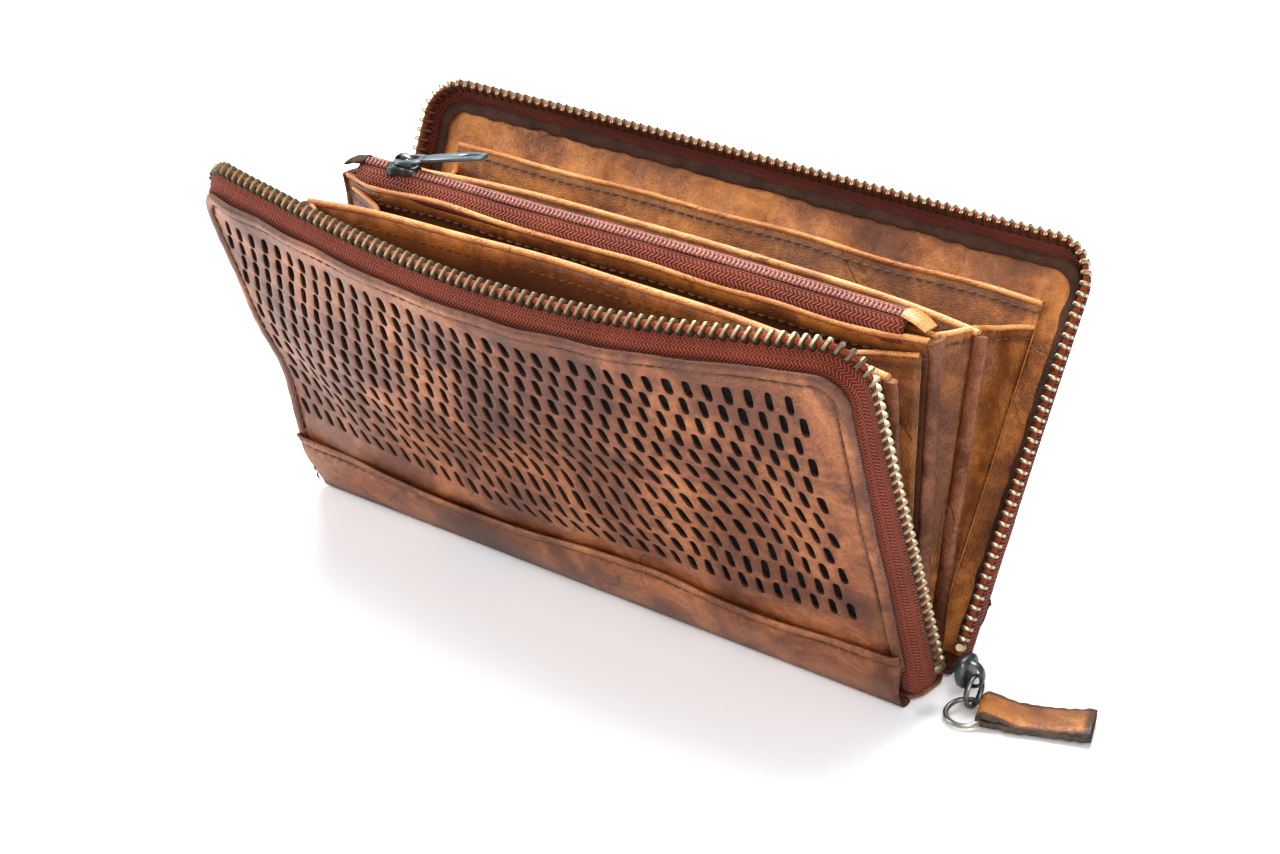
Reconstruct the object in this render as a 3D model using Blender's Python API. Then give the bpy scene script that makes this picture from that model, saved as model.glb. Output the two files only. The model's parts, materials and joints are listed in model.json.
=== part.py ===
"""Zip around wallet, standing open on its spine.

X runs along the wallet, Y from the front cover to the back cover, Z up. The origin is the centre
of the spine's flat underside. Each cover is drawn flat in its own frame: x along the wallet,
v up the cover from its hinge line, w inward from the cover's outer leather face.
"""

import math

import bmesh
import bpy
import numpy as np
from mathutils import Vector

MM = 0.001
FLAT_LIMIT = 0.0005

# Covers
COVER_HALF_LENGTH = 95 * MM
COVER_HEIGHT = 98 * MM
COVER_CORNER_RADIUS = 12 * MM
BAND_HEIGHT = 17 * MM
BAND_HALF_LENGTH = 94.5 * MM
LEATHER = 1.2 * MM
LAYER_GAP = 0.3 * MM
HINGE_Y = 9.5 * MM
HINGE_Z = 2.5 * MM
KNUCKLE_RADIUS = 2.5 * MM
KNUCKLE_END_ANGLE = 285
KNUCKLE_STEP_ANGLE = 15

# Opening angles at rest, from upright, and the inward lean that closes the wallet
FRONT_COVER_LEAN = 22
BACK_COVER_LEAN = 28.5
FRONT_DIVIDER_LEAN = 8.0
BACK_DIVIDER_LEAN = 8.5
CLOSED_LEAN = -2.3

# Layers of a cover, measured inward from its outer face
BOARD_FACES = (1.5 * MM, 2.2 * MM)
TAPE_FACES = (1.5 * MM, 2.2 * MM)
LINING_FACES = (2.5 * MM, 3.1 * MM)
POCKET_FACES = (3.35 * MM, 3.8 * MM)
BINDING_FACES = (3.4 * MM, 4.0 * MM)
TAPE_TUCK = 4.5 * MM
POCKET_HALF_LENGTH = 84 * MM
POCKET_BOTTOM = 14 * MM
POCKET_TOP = 83 * MM

# Zip of the covers: the teeth of both rows stand beside the mid plane when the wallet is closed
TEETH_PITCH = 2.54 * MM
TEETH_HALF_LENGTH = 96.6 * MM
TEETH_TOP = 102.6 * MM
TEETH_CORNER_RADIUS = 13 * MM
TEETH_BOTTOM = 3 * MM
TOOTH_LENGTH = 3.4 * MM
TOOTH_HALF_WIDTH = 1.3 * MM
CORD_LENGTH = 1.0 * MM
CORD_HALF_WIDTH = 0.6 * MM
CLOSED_TEETH_OFFSET = 1.7 * MM
TAPE_CLEARANCE = 0.3 * MM
STOP_HEIGHT = 2.4 * MM
ARC_STEPS = 6

# Dividers, coin pocket and spine
INNER_HALF_LENGTH = 88 * MM
DIVIDER_OFFSET = 2.5 * MM
DIVIDER_THICKNESS = 1.2 * MM
DIVIDER_BOTTOM = 2 * MM
DIVIDER_TOP = 81.5 * MM
SPINE_HALF_LENGTH = 92 * MM
SPINE_HALF_WIDTH = 6.9 * MM
SPINE_LAYERS = (("spine_leather", 0.0, 1.3 * MM, 0.0), ("spine_board", 1.6 * MM, 2.2 * MM, 1.2 * MM),
                ("spine_lining", 2.5 * MM, 3.1 * MM, 0.6 * MM))
COIN_WALL = 0.9 * MM
COIN_WALL_PROFILE = ((3.6 * MM, 2.2 * MM), (20 * MM, 3.6 * MM), (45 * MM, 4.0 * MM), (62 * MM, 3.5 * MM),
                     (80 * MM, 2.8 * MM), (84.6 * MM, 2.8 * MM), (87 * MM, 4.7 * MM))

# Coin pocket zip
COIN_TAPE = (88.9 * MM, 89.4 * MM, 0.3 * MM, 4.4 * MM)
COIN_FLARE_GAP = 1.4 * MM
COIN_ZIP_HALF_LENGTH = 82 * MM
COIL_HALF_WIDTH = 2.0 * MM
COIL_FACES = (89.7 * MM, 90.7 * MM)
COIN_SLIDER_X = -70 * MM
COIN_SLIDER_HALF_LENGTH = 4.6 * MM
COIN_SLIDER_FACES = (91.0 * MM, 92.4 * MM)
COIN_PULLER_LENGTH = 27 * MM
COIN_PULLER_TILT = 8

# Gussets: pleats of soft leather between the panels at both ends
GUSSET_X = 85 * MM
GUSSET_THICKNESS = 1.0 * MM
GUSSET_BOTTOM = 7 * MM
GUSSET_TOP = 78 * MM
GUSSET_GAP = 0.3 * MM
GUSSET_DEPTH = {"outer_front": 14 * MM, "inner_front": 14 * MM, "inner_back": 14 * MM, "outer_back": 6 * MM}
COIN_SIDE_Y = 4.4 * MM

# Main slider with its pull
SLIDER_X = (100.4 * MM, 102.7 * MM)
SLIDER_Z = (4.4 * MM, 12.4 * MM)
SLIDER_HALF_WIDTH = 4.1 * MM
CROWN_HEIGHT = 3.6 * MM
CROWN_HALF_WIDTH = 0.9 * MM
CROWN_WALL = 0.7 * MM
LINK_TOP = Vector((104.4, 0, 8.2)) * MM
LINK_DIRECTION = Vector((0.03, -0.35, -0.94)).normalized()
LINK_HALF_LENGTH = 3.6 * MM
LINK_HALF_WIDTH = 3.0 * MM
LINK_WIRE = 0.6 * MM
RING_RADIUS = 4.6 * MM
RING_WIRE = 0.62 * MM
RING_GAP = 0.35 * MM
RING_SLOPE = 12
RING_TURN = 15
RING_EYE_ANGLE = 45
TAB_AZIMUTH = 23
TAB_LENGTH = 24.5 * MM
TAB_HALF_WIDTH = 5.75 * MM
TAB_NECK_HALF_WIDTH = 1.6 * MM
TAB_EYE_RADIUS = 2.1 * MM
TAB_END_RADIUS = 2.7 * MM
TAB_THICKNESS = 3.2 * MM
TAB_FLOOR_GAP = 0.2 * MM

LEATHER_TAN = (0.30, 0.115, 0.032)
LEATHER_OUTER = (0.27, 0.105, 0.040)
LEATHER_DARK = (0.075, 0.028, 0.012)
TAPE_RED = (0.18, 0.040, 0.018)
COIL_RED = (0.23, 0.075, 0.045)
BRASS_ANTIQUE = (0.30, 0.235, 0.13)
GUNMETAL = (0.055, 0.062, 0.062)
BOARD_GREY = (0.32, 0.29, 0.24)


class Side:
    """One cover's side: its name, the sign of its inward direction in Y, and its leans at rest."""

    def __init__(self, name, inward, cover_lean, divider_lean):
        self.name = name
        self.inward = inward
        self.cover_lean = cover_lean
        self.divider_lean = divider_lean

    def world(self, lean, x, v, w):
        """World place of a point (x, v, w) of a panel that leans outward by an angle in degrees."""
        angle = math.radians(lean)
        out = (KNUCKLE_RADIUS - w) * math.cos(angle) + v * math.sin(angle)
        up = v * math.cos(angle) - (KNUCKLE_RADIUS - w) * math.sin(angle)
        return Vector((x, -self.inward * (HINGE_Y + out), HINGE_Z + up))


FRONT = Side("front", 1, FRONT_COVER_LEAN, FRONT_DIVIDER_LEAN)
BACK = Side("back", -1, BACK_COVER_LEAN, BACK_DIVIDER_LEAN)


def remove_all_objects():
    for item in list(bpy.data.objects):
        bpy.data.objects.remove(item, do_unlink=True)


def material(name, colour, roughness, metallic=0.0):
    made = bpy.data.materials.new(name)
    made.use_nodes = True
    shader = made.node_tree.nodes["Principled BSDF"]
    shader.inputs["Base Color"].default_value = (*colour, 1.0)
    shader.inputs["Roughness"].default_value = roughness
    shader.inputs["Metallic"].default_value = metallic
    return made


def add_mesh(name, points, faces, colour, roughness=0.6, metallic=0.0, parent=None, smooth=False):
    """One closed body from its points and faces, with its faces turned outward and the twisted ones split."""
    mesh = bpy.data.meshes.new(name)
    mesh.from_pydata([tuple(p) for p in points], [], [tuple(f) for f in faces])
    shape = bmesh.new()
    shape.from_mesh(mesh)
    bmesh.ops.recalc_face_normals(shape, faces=shape.faces)
    bmesh.ops.connect_verts_nonplanar(shape, angle_limit=FLAT_LIMIT, faces=shape.faces)
    shape.to_mesh(mesh)
    shape.free()
    if smooth:
        mesh.shade_smooth()
        mesh.set_sharp_from_angle(angle=math.radians(40))
    made = bpy.data.objects.new(name, mesh)
    mesh.materials.append(material(name + "_material", colour, roughness, metallic))
    bpy.context.scene.collection.objects.link(made)
    made.parent = parent
    return made


def axis_empty(name, location, lean=0.0, parent=None):
    """An empty on a joint's axis; its children are drawn in its frame."""
    empty = bpy.data.objects.new(name, None)
    empty.location = location
    empty.rotation_euler = (math.radians(lean), 0, 0)
    bpy.context.scene.collection.objects.link(empty)
    empty.parent = parent
    return empty


def sweep(name, rings, colour, closed=False, **options):
    """A body whose surface joins equal rings of points; its ends are capped unless it is closed."""
    count, size = len(rings), len(rings[0])
    points = [p for ring in rings for p in ring]
    faces = []
    for i in range(count if closed else count - 1):
        first, second = i * size, (i + 1) % count * size
        for k in range(size):
            after = (k + 1) % size
            faces.append((first + k, first + after, second + after, second + k))
    if not closed:
        faces.append(tuple(range(size)))
        faces.append(tuple((count - 1) * size + k for k in reversed(range(size))))
    return add_mesh(name, points, faces, colour, **options)


def box(name, low, high, colour, **options):
    """A block between two corners."""
    (x0, y0, z0), (x1, y1, z1) = low, high
    rings = [[(x, y0, z0), (x, y1, z0), (x, y1, z1), (x, y0, z1)] for x in (x0, x1)]
    return sweep(name, rings, colour, **options)


def edge_path(half_length, bottom, top, radius, steps=ARC_STEPS):
    """Points (x, v) up the right side, over the round corners and the top, and down the left."""
    right = [(half_length, bottom)]
    for i in range(steps + 1):
        angle = math.radians(90 * i / steps)
        right.append((half_length - radius * (1 - math.cos(angle)), top - radius * (1 - math.sin(angle))))
    return right + [(-x, v) for x, v in reversed(right)]


def even_path(path, spacing):
    """Points at an even spacing along a path, with the outward direction at each."""
    points = np.array(path)
    steps = np.linalg.norm(np.diff(points, axis=0), axis=1)
    along = np.concatenate(([0.0], np.cumsum(steps)))
    places = np.arange(0.0, along[-1], spacing)
    x = np.interp(places, along, points[:, 0])
    v = np.interp(places, along, points[:, 1])
    ahead = np.stack((np.gradient(x), np.gradient(v)), axis=1)
    ahead /= np.linalg.norm(ahead, axis=1)[:, None]
    return list(zip(x, v, ahead[:, 1], -ahead[:, 0]))


def teeth_depth(v):
    """Depth w of the teeth row that puts it beside the mid plane when the wallet is closed."""
    angle = math.radians(-CLOSED_LEAN)
    return KNUCKLE_RADIUS + (HINGE_Y - CLOSED_TEETH_OFFSET - v * math.sin(angle)) / math.cos(angle)


def in_cover(side, x, v, w):
    """A cover point in the frame of its hinge empty."""
    return (x, side.inward * (w - KNUCKLE_RADIUS), v)


def cover_plate(name, side, outline, faces, colour, parent, **options):
    """A flat layer of a cover with an outline in (x, v) between two depths."""
    rings = [[in_cover(side, x, v, w) for x, v in outline] for w in faces]
    return sweep(name, rings, colour, parent=parent, **options)


def base_band(side, parent):
    """The plain leather band: flat below the panel, and rolled under the hinge line."""
    inner_radius = KNUCKLE_RADIUS - LEATHER
    angles = range(180, KNUCKLE_END_ANGLE + 1, KNUCKLE_STEP_ANGLE)

    def arc_point(radius, angle):
        turn = math.radians(angle)
        return KNUCKLE_RADIUS + radius * math.cos(turn), radius * math.sin(turn)

    profile = [(0.0, BAND_HEIGHT)] + [arc_point(KNUCKLE_RADIUS, a) for a in angles]
    profile += [arc_point(inner_radius, a) for a in reversed(angles)] + [(LEATHER, BAND_HEIGHT)]
    rings = [[in_cover(side, x, v, w) for w, v in profile] for x in (-BAND_HALF_LENGTH, BAND_HALF_LENGTH)]
    return sweep(side.name + "_base_band", rings, LEATHER_OUTER, parent=parent)


def zip_tape(side, parent):
    """The woven tape: tucked flat under the cover's edge, then folded inward and out to the teeth."""
    low, high = TAPE_FACES
    thick = high - low
    tuck, inner_fold, outer_fold = (inset_path(inset, TEETH_BOTTOM) for inset in (TAPE_TUCK, 0.0, -thick))
    inner_end, outer_end = (edge_path(TEETH_HALF_LENGTH - inset, TEETH_BOTTOM, TEETH_TOP - inset,
                                      TEETH_CORNER_RADIUS - inset)
                            for inset in (TAPE_CLEARANCE + thick, TAPE_CLEARANCE))
    rings = []
    for a, b, c, d, e in zip(tuck, outer_fold, outer_end, inner_end, inner_fold):
        section = [(*a, low), (*b, low), (*c, teeth_depth(c[1])), (*d, teeth_depth(d[1])), (*e, high), (*a, high)]
        rings.append([in_cover(side, *p) for p in section])
    sweep(side.name + "_zip_tape", rings, TAPE_RED, roughness=0.85, parent=parent)


def zip_teeth(side, parent):
    """The teeth row: a bead with a ridge for each tooth, standing outward from the tape's edge."""
    path = edge_path(TEETH_HALF_LENGTH, TEETH_BOTTOM + STOP_HEIGHT + LAYER_GAP, TEETH_TOP, TEETH_CORNER_RADIUS)
    rings = []
    for i, (x, v, out_x, out_v) in enumerate(even_path(path, TEETH_PITCH / 2)):
        reach, half = (TOOTH_LENGTH, TOOTH_HALF_WIDTH) if i % 2 == 0 else (CORD_LENGTH, CORD_HALF_WIDTH)
        depth = teeth_depth(v)
        section = ((0.0, -half), (reach, -half), (reach, half), (0.0, half))
        rings.append([in_cover(side, x + out_x * a, v + out_v * a, depth + b) for a, b in section])
    return sweep(side.name + "_zip_teeth", rings, BRASS_ANTIQUE, roughness=0.35, metallic=1.0, parent=parent)


def zip_stops(side, parent):
    """A metal stop at each end of the teeth row."""
    for name, end in (("left", -1), ("right", 1)):
        depth = teeth_depth(TEETH_BOTTOM)
        inner, outer = TEETH_HALF_LENGTH, TEETH_HALF_LENGTH + TOOTH_LENGTH
        outline = [(end * inner, TEETH_BOTTOM), (end * outer, TEETH_BOTTOM),
                   (end * outer, TEETH_BOTTOM + STOP_HEIGHT), (end * inner, TEETH_BOTTOM + STOP_HEIGHT)]
        faces = (depth - TOOTH_HALF_WIDTH, depth + TOOTH_HALF_WIDTH)
        cover_plate(f"{side.name}_zip_stop_{name}", side, outline, faces, BRASS_ANTIQUE, parent,
                    roughness=0.35, metallic=1.0)


def inset_path(inset, bottom):
    """The cover's edge moved inward."""
    return edge_path(COVER_HALF_LENGTH - inset, bottom, COVER_HEIGHT - inset, COVER_CORNER_RADIUS - inset)


def cover(side):
    """One cover: outer leather, base band, board, lining, binding, slip pocket and zip half."""
    hinge = axis_empty(side.name + "_cover_hinge_axis", (0, -side.inward * HINGE_Y, HINGE_Z),
                       side.inward * side.cover_lean)
    panel_bottom = BAND_HEIGHT + LAYER_GAP
    cover_plate(side.name + "_outer_panel", side, inset_path(0.0, panel_bottom), (0.0, LEATHER),
                LEATHER_OUTER, hinge)
    base_band(side, hinge)
    board_bottom = KNUCKLE_RADIUS
    cover_plate(side.name + "_board", side, inset_path(TAPE_TUCK + LAYER_GAP, board_bottom), BOARD_FACES,
                BOARD_GREY, hinge, roughness=0.9)
    cover_plate(side.name + "_lining", side, inset_path(1.0 * MM, board_bottom), LINING_FACES, LEATHER_TAN, hinge)
    binding_bottom = POCKET_BOTTOM
    binding = inset_path(1.0 * MM, binding_bottom) + list(reversed(inset_path(5.0 * MM, binding_bottom)))
    cover_plate(side.name + "_edge_binding", side, binding, BINDING_FACES, LEATHER_DARK, hinge, roughness=0.8)
    pocket = [(-POCKET_HALF_LENGTH, POCKET_BOTTOM), (POCKET_HALF_LENGTH, POCKET_BOTTOM),
              (POCKET_HALF_LENGTH, POCKET_TOP), (-POCKET_HALF_LENGTH, POCKET_TOP)]
    cover_plate(side.name + "_slip_pocket", side, pocket, POCKET_FACES, LEATHER_TAN, hinge)
    zip_tape(side, hinge)
    zip_teeth(side, hinge)
    zip_stops(side, hinge)


def divider(side):
    """The leather divider between a cover and the coin pocket."""
    hinge = axis_empty(side.name + "_divider_hinge_axis", (0, -side.inward * HINGE_Y, HINGE_Z),
                       side.inward * side.divider_lean)
    middle = KNUCKLE_RADIUS + DIVIDER_OFFSET
    outline = [(-INNER_HALF_LENGTH, DIVIDER_BOTTOM), (INNER_HALF_LENGTH, DIVIDER_BOTTOM),
               (INNER_HALF_LENGTH, DIVIDER_TOP), (-INNER_HALF_LENGTH, DIVIDER_TOP)]
    faces = (middle - DIVIDER_THICKNESS / 2, middle + DIVIDER_THICKNESS / 2)
    cover_plate(side.name + "_divider", side, outline, faces, LEATHER_TAN, hinge)


def spine():
    """The flat strip that the wallet stands on, its board and its lining."""
    for name, low, high, inset in SPINE_LAYERS:
        colour = BOARD_GREY if name == "spine_board" else LEATHER_OUTER
        half_length, half_width = SPINE_HALF_LENGTH - inset, SPINE_HALF_WIDTH - inset
        box(name, (-half_length, -half_width, low), (half_length, half_width, high), colour)


def coin_pocket():
    """Two leather walls that part at mid height and flare to the zip that closes them."""
    for side in (FRONT, BACK):
        out = -side.inward
        outer = [(out * y, z) for z, y in COIN_WALL_PROFILE]
        inner = [(out * (y - COIN_WALL), z) for z, y in COIN_WALL_PROFILE]
        section = outer + list(reversed(inner))
        rings = [[(x, y, z) for y, z in section] for x in (-INNER_HALF_LENGTH, INNER_HALF_LENGTH)]
        sweep(f"coin_pocket_{side.name}_wall", rings, LEATHER_TAN)
        low, high, near, far = COIN_TAPE
        box(f"coin_zip_tape_{side.name}", (-COIN_ZIP_HALF_LENGTH, min(out * near, out * far), low - COIN_FLARE_GAP),
            (COIN_ZIP_HALF_LENGTH, max(out * near, out * far), high), TAPE_RED, roughness=0.85)
    box("coin_zip_coil", (-COIN_ZIP_HALF_LENGTH, -COIL_HALF_WIDTH, COIL_FACES[0]),
        (COIN_ZIP_HALF_LENGTH, COIL_HALF_WIDTH, COIL_FACES[1]), COIL_RED, roughness=0.4)


def coin_end_tabs():
    """Leather tabs folded over the two ends of the coin zip."""
    low = COIN_TAPE[0] - COIN_FLARE_GAP
    high = COIL_FACES[1]
    start = COIN_ZIP_HALF_LENGTH + LAYER_GAP
    for name, end in (("left", -1), ("right", 1)):
        x0, x1 = sorted((end * start, end * (start + 7 * MM)))
        box("coin_zip_end_tab_" + name, (x0, -3.6 * MM, low), (x1, 3.6 * MM, high), LEATHER_TAN)


def crown(name, foot, half_length, height, wall, half_width, turn):
    """The arch on a slider that holds its pull, standing on a point, drawn with a turn function."""
    thin = half_length - wall
    outer = [(-half_length, -wall), (-half_length, height * 0.6), (-half_length * 0.7, height),
             (half_length * 0.7, height), (half_length, height * 0.6), (half_length, -wall)]
    inner = [(thin, -wall), (thin, height * 0.55), (thin * 0.7, height - wall), (-thin * 0.7, height - wall),
             (-thin, height * 0.55), (-thin, -wall)]
    rings = [[Vector(foot) + turn(a, b, c) for a, b in outer + inner] for c in (-half_width, half_width)]
    cutter = sweep(name, rings, GUNMETAL)
    cutter.hide_render = True
    cutter.display_type = "WIRE"
    return cutter


def join(base, other):
    """Unite a hidden helper shape with a body."""
    union = base.modifiers.new("union", "BOOLEAN")
    union.operation = "UNION"
    union.solver = "EXACT"
    union.object = other


def coin_slider():
    """The coin zip's slider with its crown, and its flat puller on a cross pin line."""
    low, high = COIN_SLIDER_FACES
    axis = axis_empty("coin_slider_axis", (COIN_SLIDER_X, 0, high))
    shape = [(-1.0, 0.45), (-1.0, 0.8), (-0.55, 1.0), (0.2, 0.95), (1.0, 0.62)]
    outline = [(COIN_SLIDER_HALF_LENGTH * a, 3.4 * MM * b) for a, b in shape]
    outline += [(x, -y) for x, y in reversed(outline)]
    rings = [[(x, y, z) for x, y in outline] for z in (low - high, 0.0)]
    body = sweep("coin_slider", rings, GUNMETAL, roughness=0.4, metallic=1.0, parent=axis)
    arch = crown("coin_crown", (0, 0, 0), 3.0 * MM, 2.6 * MM, 0.6 * MM, 0.8 * MM, lambda a, b, c: Vector((a, c, b)))
    arch.parent = axis
    join(body, arch)
    puller_axis = axis_empty("coin_puller_axis", (COIN_SLIDER_X, 0, high + 1.15 * MM))
    puller_axis.rotation_euler = (0, -math.radians(COIN_PULLER_TILT), 0)
    flat_puller(puller_axis)


def flat_puller(axis):
    """The puller: an eye bar through the crown, two side straps, and a plate with a long slot."""
    thick, half = 0.45 * MM, 2.6 * MM
    plate_start, slot_start = 4.5 * MM, 12 * MM
    slot_end, slot_half = 22 * MM, 1.0 * MM
    bar_end, strap = 0.5 * MM, 0.8 * MM
    end = COIN_PULLER_LENGTH
    outer = [(-bar_end, -half), (end * 0.55, -half), (end - 2 * MM, -half), (end, -half * 0.6),
             (end, half * 0.6), (end - 2 * MM, half), (end * 0.55, half), (-bar_end, half)]
    rings = [[(x, y, z) for x, y in outer] for z in (-thick, thick)]
    puller = sweep("coin_puller", rings, GUNMETAL, roughness=0.35, metallic=1.0, parent=axis)
    for name, x0, x1, y1 in (("coin_puller_eye", bar_end, plate_start, half - strap),
                             ("coin_puller_slot", slot_start, slot_end, slot_half)):
        cut = box(name, (x0, -y1, -2 * thick), (x1, y1, 2 * thick), GUNMETAL, parent=axis)
        cut.hide_render = True
        cut.display_type = "WIRE"
        hole = puller.modifiers.new(name, "BOOLEAN")
        hole.operation = "DIFFERENCE"
        hole.solver = "EXACT"
        hole.object = cut


def gusset(name, end, near, far, depth):
    """A pleat between two panels: its edges stand at their ends and its crease points inward.

    near and far give the world point on each panel's face at a height v.
    """
    rings = []
    for v in (GUSSET_BOTTOM, GUSSET_TOP):
        a, b = near(v), far(v)
        gap = GUSSET_GAP if b.y > a.y else -GUSSET_GAP
        crease_x = GUSSET_X - depth * v / GUSSET_TOP
        middle_y, middle_z = (a.y + b.y) / 2, (a.z + b.z) / 2
        section = [(GUSSET_X, a.y + gap, a.z), (crease_x, middle_y, middle_z), (GUSSET_X, b.y - gap, b.z),
                   (GUSSET_X - GUSSET_THICKNESS, b.y - gap, b.z), (crease_x - GUSSET_THICKNESS, middle_y, middle_z),
                   (GUSSET_X - GUSSET_THICKNESS, a.y + gap, a.z)]
        rings.append([(end * x, y, z) for x, y, z in section])
    sweep(name, rings, LEATHER_TAN)


def gussets():
    """Four pleats at each end: between cover and divider, and between divider and coin pocket."""
    divider_outer = KNUCKLE_RADIUS + DIVIDER_OFFSET - DIVIDER_THICKNESS / 2
    divider_inner = divider_outer + DIVIDER_THICKNESS
    for end_name, end in (("left", -1), ("right", 1)):
        for side in (FRONT, BACK):
            def cover_face(v, side=side):
                return side.world(side.cover_lean, 0, v, POCKET_FACES[1])

            def divider_face(v, side=side, w=divider_outer):
                return side.world(side.divider_lean, 0, v, w)

            def divider_back(v, side=side, w=divider_inner):
                return side.world(side.divider_lean, 0, v, w)

            def coin_face(v, side=side):
                return Vector((0, -side.inward * COIN_SIDE_Y, HINGE_Z + v))

            outer, inner = "outer_" + side.name, "inner_" + side.name
            gusset(f"gusset_{outer}_{end_name}", end, cover_face, divider_face, GUSSET_DEPTH[outer])
            gusset(f"gusset_{inner}_{end_name}", end, divider_back, coin_face, GUSSET_DEPTH[inner])


def wire_loop(name, centre, first, second, radius_a, radius_b, wire, colour, parent, turns=28, sides=8):
    """A closed oval of round wire around a centre, in the plane of two directions."""
    first, second = first.normalized(), second.normalized()
    normal = first.cross(second)
    rings = []
    for i in range(turns):
        angle = 2 * math.pi * i / turns
        place = centre + first * (radius_a * math.cos(angle)) + second * (radius_b * math.sin(angle))
        out = (first * (radius_b * math.cos(angle)) + second * (radius_a * math.sin(angle))).normalized()
        ring = []
        for k in range(sides):
            turn = 2 * math.pi * k / sides
            ring.append(place + out * (wire * math.cos(turn)) + normal * (wire * math.sin(turn)))
        rings.append(ring)
    return sweep(name, rings, colour, closed=True, roughness=0.3, metallic=1.0, parent=parent, smooth=True)


def main_slider():
    """The main slider: a plate outside the teeth with a crown for the pull link."""
    middle = Vector((SLIDER_X[1], 0, sum(SLIDER_Z) / 2))
    axis = axis_empty("main_slider_axis", middle)
    half_height = (SLIDER_Z[1] - SLIDER_Z[0]) / 2
    shape = [(-1.0, 0.5), (-0.9, 0.72), (0.1, 0.9), (0.75, 1.0), (1.0, 0.78)]
    outline = [(SLIDER_HALF_WIDTH * b, half_height * a) for a, b in shape]
    outline += [(-y, z) for y, z in reversed(outline)]
    rings = [[(x, y, z) for y, z in outline] for x in (SLIDER_X[0] - SLIDER_X[1], 0.0)]
    body = sweep("main_slider", rings, GUNMETAL, roughness=0.4, metallic=1.0, parent=axis)
    foot = (0, 0, LINK_TOP.z - middle.z)
    arch = crown("main_crown", foot, 3.0 * MM, CROWN_HEIGHT, CROWN_WALL, CROWN_HALF_WIDTH,
                 lambda a, b, c: Vector((b, c, a)))
    arch.parent = axis
    join(body, arch)


def on_ring(ring_up, degrees):
    """The step from the ring's centre to a place on its wire, at an angle from X towards its up direction."""
    angle = math.radians(degrees)
    return (Vector((1, 0, 0)) * math.cos(angle) + ring_up * math.sin(angle)) * RING_RADIUS


def pull():
    """The pull: a link through the crown, a wire ring, and a folded leather tab on the ring."""
    link_across = LINK_DIRECTION.cross(Vector((1, 0, 0))).normalized()
    link_centre = LINK_DIRECTION * LINK_HALF_LENGTH
    link_axis = axis_empty("pull_link_axis", LINK_TOP)
    wire_loop("pull_link", link_centre, LINK_DIRECTION, link_across, LINK_HALF_LENGTH, LINK_HALF_WIDTH,
              LINK_WIRE, GUNMETAL, link_axis)
    reach = 2 * LINK_HALF_LENGTH - LINK_WIRE - RING_WIRE - RING_GAP
    ring_top = LINK_TOP + LINK_DIRECTION * reach
    slope = math.radians(RING_SLOPE)
    ring_up = Vector((0, math.cos(slope), math.sin(slope)))
    ring_axis = axis_empty("pull_ring_axis", ring_top)
    ring_centre = on_ring(ring_up, 90 + RING_TURN) * -1
    wire_loop("pull_ring", ring_centre, Vector((1, 0, 0)), ring_up, RING_RADIUS, RING_RADIUS,
              RING_WIRE, GUNMETAL, ring_axis, turns=32)
    eye = ring_top + ring_centre + on_ring(ring_up, RING_EYE_ANGLE)
    tab_axis = axis_empty("pull_tab_axis", eye)
    tab_axis.rotation_euler = (0, 0, math.radians(TAB_AZIMUTH))
    pull_tab(tab_axis, eye.z)


def pull_tab(axis, eye_height):
    """The tab: a strip folded round the ring, narrow at the fold, with its two layers stuck together.

    The outer shape is the tab seen from above carried up its side profile; a round eye goes through.
    """
    floor = TAB_FLOOR_GAP - eye_height
    arc = [(-TAB_END_RADIUS * math.sin(math.radians(a)), TAB_END_RADIUS * math.cos(math.radians(a)))
           for a in range(0, 151, 30)]
    top = [(TAB_LENGTH, floor + TAB_THICKNESS), (9 * MM, floor + TAB_THICKNESS), (4 * MM, 2.2 * MM)]
    profile = top + arc + [(4 * MM, floor), (9 * MM, floor), (TAB_LENGTH, floor)]
    rings = [[(s, y, max(z, floor)) for s, z in profile] for y in (-TAB_HALF_WIDTH, TAB_HALF_WIDTH)]
    tab = sweep("pull_tab", rings, LEATHER_TAN, parent=axis)
    shoulder = 3.6 * MM
    cuts = []
    for name, side in (("left", -1), ("right", 1)):
        y0, y1 = sorted((side * TAB_NECK_HALF_WIDTH, side * 2 * TAB_HALF_WIDTH))
        cuts.append(box("tab_notch_" + name, (-2 * TAB_END_RADIUS, y0, -TAB_HALF_WIDTH),
                        (shoulder, y1, TAB_HALF_WIDTH), LEATHER_TAN, parent=axis))
    eye_ring = [(TAB_EYE_RADIUS * math.cos(2 * math.pi * i / 12), TAB_EYE_RADIUS * math.sin(2 * math.pi * i / 12))
                for i in range(12)]
    rings = [[(s, y, z) for s, z in eye_ring] for y in (-TAB_HALF_WIDTH, TAB_HALF_WIDTH)]
    cuts.append(sweep("tab_eye", rings, LEATHER_TAN, parent=axis))
    for cut in cuts:
        cut.hide_render = True
        cut.display_type = "WIRE"
        hole = tab.modifiers.new(cut.name, "BOOLEAN")
        hole.operation = "DIFFERENCE"
        hole.solver = "EXACT"
        hole.object = cut


def build():
    remove_all_objects()
    spine()
    coin_pocket()
    coin_end_tabs()
    coin_slider()
    for side in (FRONT, BACK):
        cover(side)
        divider(side)
    gussets()
    main_slider()
    pull()


build()
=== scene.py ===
"""Looks of the zip around wallet: leather, zips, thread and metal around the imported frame.

Lengths are metres and angles degrees. x runs along the wallet. On a cover or divider, v runs up
from its hinge line and w inward from its outer leather face.
"""

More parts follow.
